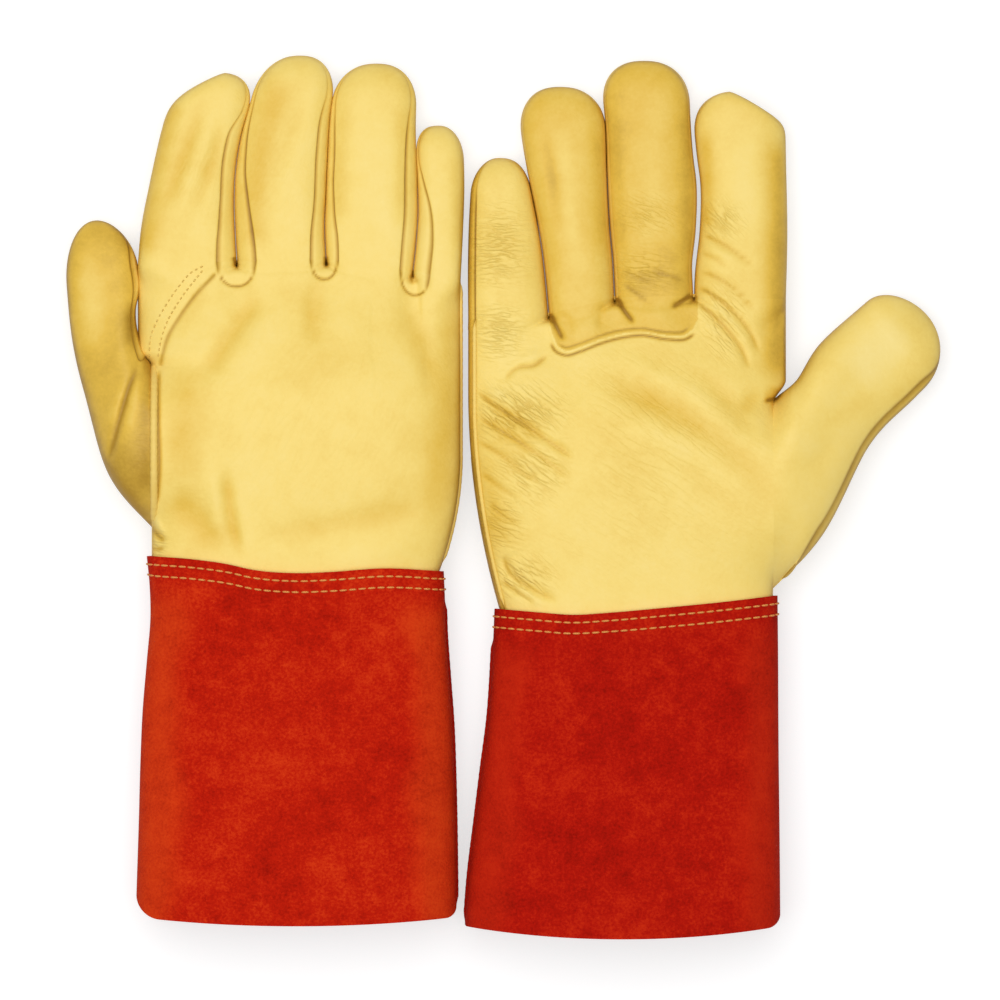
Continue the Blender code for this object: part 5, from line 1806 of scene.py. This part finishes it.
class Sewing:
    """Turns surfaces into pieces of a glove and hangs them on its bodies."""

    def __init__(self, glove: Glove, finishes: Finishes) -> None:
        """Start sewing one glove."""
        self.glove = glove
        self.finishes = finishes

    def mesh(self, name: str, points: Array, faces: Array) -> Piece:
        """An object of points in the plan and of faces.

        Args:
            name: the piece's name.
            points: its points in millimetres, one row each.
            faces: the numbers of each face's points, seen from outside in an unmirrored glove.

        Returns:
            The object, smooth shaded.
        """
        if self.glove.mirror < 0.0:
            faces = faces[:, ::-1]
        made = bpy.data.meshes.new(f"{self.glove.sizes.name}_{name}_sewn")
        made.from_pydata(self.glove.world(points), [], faces.tolist())
        made.polygons.foreach_set("use_smooth", np.ones(len(made.polygons), bool))
        piece = bpy.data.objects.new(made.name, made)
        bpy.context.scene.collection.objects.link(piece)
        return piece

    def sheet(self, name: str, surface: Surface, values: dict[str, Array], loop: bool = False) -> Piece:
        """A piece from a surface, with its values as attributes.

        Args:
            name: the piece's name.
            surface: its surface.
            values: arrays of one value for each point.
            loop: whether its last column joins its first.

        Returns:
            The object, whose meeting points are merged.
        """
        faces = grid_faces(*surface.points.shape[:2], loop)
        piece = self.mesh(name, surface.points.reshape(-1, 3), faces)
        for key, value in values.items():
            kind, part = ("FLOAT_VECTOR", "vector") if value.ndim == 3 else ("FLOAT", "value")
            layer = piece.data.attributes.new(key, kind, "POINT")
            layer.data.foreach_set(part, value.astype(np.float32).ravel())
        merged = bmesh.new()
        merged.from_mesh(piece.data)
        bmesh.ops.remove_doubles(merged, verts=merged.verts[:], dist=1e-6)
        bmesh.ops.dissolve_degenerate(merged, edges=merged.edges[:], dist=1e-7)
        for edge in merged.edges:
            edge.smooth = not edge.is_boundary
        merged.to_mesh(piece.data)
        merged.free()
        return piece

    def thicken(self, piece: Piece, thickness: float) -> None:
        """Give a piece its leather's thickness, inward."""
        wall = piece.modifiers.new("thickness", "SOLIDIFY")
        wall.thickness = thickness * MM
        wall.offset = -1.0

    def leather(self, name: str, surface: Surface, finish: LeatherFinish, solid: bool = False) -> Piece:
        """A piece of grain leather, with its thickness, its tone with painted shade on its steep sides, and
        the painted shade of its creases, or a solid bead of it.
        """
        # The tone: painted shade and highlights of the folds, the piece's own tone, and painted shade where
        # the leather turns down
        tone = surface.tone + self.glove.tone(name) - SLOPE_SHADE * surface.slope()
        values = {"tone": tone, "crease": surface.crease, "wrinkle": surface.wrinkle, "lie": surface.lie}
        piece = self.sheet(name, surface, values, loop=solid)
        if not solid:
            self.thicken(piece, GRAIN_THICKNESS)
        self.dress(piece, name, finish)
        return piece

    def welt(self, name: str, path: Array, radius: float, up: Array) -> None:
        """A round welt of grain leather along a path, which moves with the hand."""
        self.ride(self.leather(name, Surface.plain(bead(path, radius, up)), WELT, solid=True))

    def thread(self, name: str, row: tuple[Array, Array], finish: ThreadFinish) -> None:
        """A row of stitches as one piece that moves with the hand."""
        piece = self.mesh(name, *row)
        self.dress(piece, name, finish)
        self.ride(piece)

    def dress(self, piece: Piece, name: str, finish: Finish) -> None:
        """Give a piece its material, and let it stand for the solid of the same name."""
        piece.data.materials.append(self.finishes.material(finish))
        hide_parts(f"{self.glove.sizes.name}_{name}")
        LOG.info("%s: %d points", piece.name, len(piece.data.vertices))

    def ride(self, piece: Piece) -> None:
        """Let a piece move with the hand."""
        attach(piece, self.glove.body("hand"))

    def bend(self, piece: Piece, body: str, start: Point, end: Point) -> None:
        """Bake a piece's place into its points; it is hung on no body and does not bend, and the two plan
        points and the body's name are worked out but not used.
        """
        plan = np.array([[*start, 0.0], [*end, 0.0]])
        first, last = self.glove.world(plan)
        self.glove.body("hand")
        self.glove.body(body)
        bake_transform(piece)


def make_hand(sewing: Sewing, hand: Hand) -> None:
    """The two panels, the welts in their seams and the webs between the fingers."""
    glove = sewing.glove
    for name, surface in hand.panels().items():
        sewing.ride(sewing.leather(name, surface, GRAIN))
    side = hand.loop.points[HAND_ROWS[0] + SIDE_WELT_START :, hand.seam_column]
    sewing.welt("side_welt", side, WELT_RADIUS, UP)
    across, rise = THUMB_WELT_SHIFT
    root = hand.root_edge(glove.back)[THUMB_WELT_START:-THUMB_WELT_START]
    root = root + np.array((across, 0.0, rise * glove.back.value))
    sewing.welt("thumb_welt", root, THUMB_WELT_RADIUS, ACROSS)
    names = [finger.name for finger in glove.sizes.fingers]
    for i, edge in enumerate(glove.sizes.edges[1:-1]):
        sewing.ride(sewing.leather(f"{names[i]}_{names[i + 1]}_web", web(edge), GUSSET))


def web(edge: Edge) -> Surface:
    """The gusset's fold at the bottom of a slot: a strip that stands in the crotch and dips at its middle."""
    rows, columns = WEB_GRID
    up, across = np.meshgrid(np.linspace(0.0, 1.0, rows), np.linspace(1.0, -1.0, columns), indexing="ij")
    side_bow, end_bow = WEB_BOW
    low, high = WEB_SPAN
    x = edge.knuckle + across * (LEAST_SLOT / 2.0 + WEB_LAP)
    y = edge.reach - WEB_DROP + side_bow * across * across + end_bow * (2.0 * up - 1.0) ** 2
    z = mix(KNUCKLE_LEVEL.bottom + low, KNUCKLE_LEVEL.seam + high, up)
    return Surface.plain(np.stack([x, y, z], axis=-1))


def make_fingers(sewing: Sewing, fingers: list[Finger]) -> None:
    """The strips and gussets of the four fingers."""
    for finger in fingers:
        middle = (finger.left.knuckle + finger.right.knuckle) / 2.0
        start = max(finger.left.reach, finger.right.reach) + BEND_START
        for name, surface in finger.pieces().items():
            finish = GUSSET if name.endswith("wall") else GRAIN
            piece = sewing.leather(f"{finger.sizes.name}_{name}", surface, finish)
            sewing.bend(piece, finger.sizes.name, (middle, start), (middle, start + BEND_REACH))


def make_thumb(sewing: Sewing, thumb: Thumb) -> None:
    """The two halves of the thumb."""
    edge = -sewing.glove.sizes.wrist_half
    for name, surface in thumb.halves().items():
        piece = sewing.leather(name, surface, GRAIN)
        start = (edge - THUMB_BEND_START, thumb.middle)
        sewing.bend(piece, "thumb", start, (edge - sewing.glove.sizes.thumb_bend, thumb.middle))


def make_cuff(sewing: Sewing, cuff: Cuff) -> None:
    """The cuff, the welt in its seam and the two rows of stitches round the wrist."""
    surface, fold = cuff.tube()
    suede = DARK_RED_SUEDE if sewing.glove.sizes.palm_up else RED_SUEDE
    piece = sewing.sheet("cuff", surface, {"fold": fold}, loop=True)
    sewing.thicken(piece, SPLIT_THICKNESS)
    sewing.dress(piece, "cuff", suede)
    sewing.ride(piece)
    down = np.linspace(CUFF_WELT_START, sewing.glove.sizes.cuff_length, CUFF_WELT_ROWS)
    welt = Surface.plain(bead(cuff.place(down, np.zeros_like(down)), WELT_RADIUS, UP))
    piece = sewing.sheet("cuff_welt", welt, {"fold": np.zeros(welt.points.shape[:2])}, loop=True)
    sewing.dress(piece, "cuff_welt", CUFF_WELT)
    sewing.ride(piece)
    pitch, length = CUFF_STITCH
    for name, depth in CUFF_ROW_DEPTHS:
        row = stitches(*cuff.row(depth, pitch), length, THREAD_DIAMETER)
        sewing.thread(f"cuff_stitch_{name}", row, CUFF_THREAD)


def make_index_rows(sewing: Sewing, hand: Hand) -> None:
    """The two rows of small stitches across the base of the index finger, on the back."""
    glove = sewing.glove
    loop = hand.loop.points
    face = loop[:, : hand.upper_count] if glove.back is Face.OVER else loop[:, hand.upper_count :]
    flat = face.reshape(-1, 3)
    along_rows, along_columns = np.gradient(face, axis=0), np.gradient(face, axis=1)
    normals = unit(np.cross(along_columns, along_rows)).reshape(-1, 3)
    pitch, length = INDEX_STITCH
    for name, path in zip(("upper", "lower"), glove.sizes.index_rows):
        line = run(path, pitch)
        nearest_points = np.argmin(np.linalg.norm(flat[None, :, :2] - line[:, None], axis=2), axis=1)
        places = np.concatenate([line, flat[nearest_points, 2:]], axis=1)
        along = unit(np.gradient(places, axis=0))
        row = stitches(places, along, normals[nearest_points], length, INDEX_THREAD_DIAMETER)
        sewing.thread(f"index_seam_stitch_{name}", row, LEATHER_THREAD)


def make_glove(sizes: GloveSizes, finishes: Finishes) -> None:
    """One whole glove."""
    glove = Glove(sizes)
    fingers = [Finger(glove, place) for place in range(len(sizes.fingers))]
    hand = Hand(glove, fingers)
    sewing = Sewing(glove, finishes)
    make_hand(sewing, hand)
    make_index_rows(sewing, hand)
    make_fingers(sewing, fingers)
    make_thumb(sewing, Thumb(glove, hand))
    make_cuff(sewing, Cuff(glove))


class Studio:
    """The pale table, the soft light above it and the camera that looks straight down."""

    height = 8.0
    view_width = 0.4
    middle = (-0.0024, -0.0014)
    table_reach = 6.0
    table_glow = 0.6
    table_grey = 0.8
    seen_grey = 0.5
    lamp_size = 2.2
    lamp_power = 33.0
    lamp_place = (-0.2, 0.15, 1.8)
    lamp_turn = (-5.0, -6.0, 0.0)
    sky_strength = 0.28

    def floor(self) -> None:
        """A wide white table, which glows a little to the camera alone."""
        made = bpy.data.meshes.new("table")
        reach = self.table_reach
        corners = [(-reach, -reach, 0.0), (reach, -reach, 0.0), (reach, reach, 0.0), (-reach, reach, 0.0)]
        made.from_pydata(corners, [], [(0, 1, 2, 3)])
        table = bpy.data.objects.new("table", made)
        bpy.context.scene.collection.objects.link(table)
        material = bpy.data.materials.new("white_table")
        material.use_nodes = True
        nodes = Nodes(material.node_tree)
        greys = [(grey, grey, grey, 1.0) for grey in (self.table_grey, self.seen_grey)]
        plain, dim = (nodes.add("ShaderNodeBsdfDiffuse", {"Color": grey}).outputs[0] for grey in greys)
        glow = nodes.add("ShaderNodeEmission", {"Color": (1.0, 1.0, 1.0, 1.0), "Strength": self.table_glow})
        seen = nodes.add("ShaderNodeLightPath", {}).outputs["Is Camera Ray"]
        lit = nodes.add("ShaderNodeAddShader", {0: dim, 1: glow.outputs[0]})
        both = nodes.add("ShaderNodeMixShader", {0: seen, 1: plain, 2: lit.outputs[0]})
        nodes.add("ShaderNodeOutputMaterial", {"Surface": both.outputs[0]})
        made.materials.append(material)

    def light(self) -> None:
        """A broad soft lamp overhead and an even sky."""
        lamp = bpy.data.lights.new("overhead", "AREA")
        lamp.shape = "DISK"
        lamp.size = self.lamp_size
        lamp.energy = self.lamp_power
        above = bpy.data.objects.new("overhead", lamp)
        above.location = self.lamp_place
        above.rotation_euler = [math.radians(turn) for turn in self.lamp_turn]
        bpy.context.scene.collection.objects.link(above)
        world = bpy.data.worlds.new("studio")
        world.use_nodes = True
        sky = world.node_tree.nodes["Background"]
        sky.inputs["Color"].default_value = (1.0, 1.0, 1.0, 1.0)
        sky.inputs["Strength"].default_value = self.sky_strength
        bpy.context.scene.world = world

    def camera(self) -> None:
        """A long lens straight above the pair."""
        lens = bpy.data.cameras.new("camera")
        lens.lens = lens.sensor_width * self.height / self.view_width
        eye = bpy.data.objects.new("camera", lens)
        eye.location = (*self.middle, self.height)
        bpy.context.scene.collection.objects.link(eye)
        bpy.context.scene.camera = eye


def main() -> None:
    """Dress both gloves, then set the studio round them."""
    logging.basicConfig(level=logging.INFO, format="%(name)s: %(message)s")
    bpy.context.scene.view_settings.view_transform = "Standard"
    finishes = Finishes()
    for sizes in (PALM_DOWN, PALM_UP):
        make_glove(sizes, finishes)
    studio = Studio()
    studio.floor()
    studio.light()
    studio.camera()


if __name__ == "__main__":
    main()
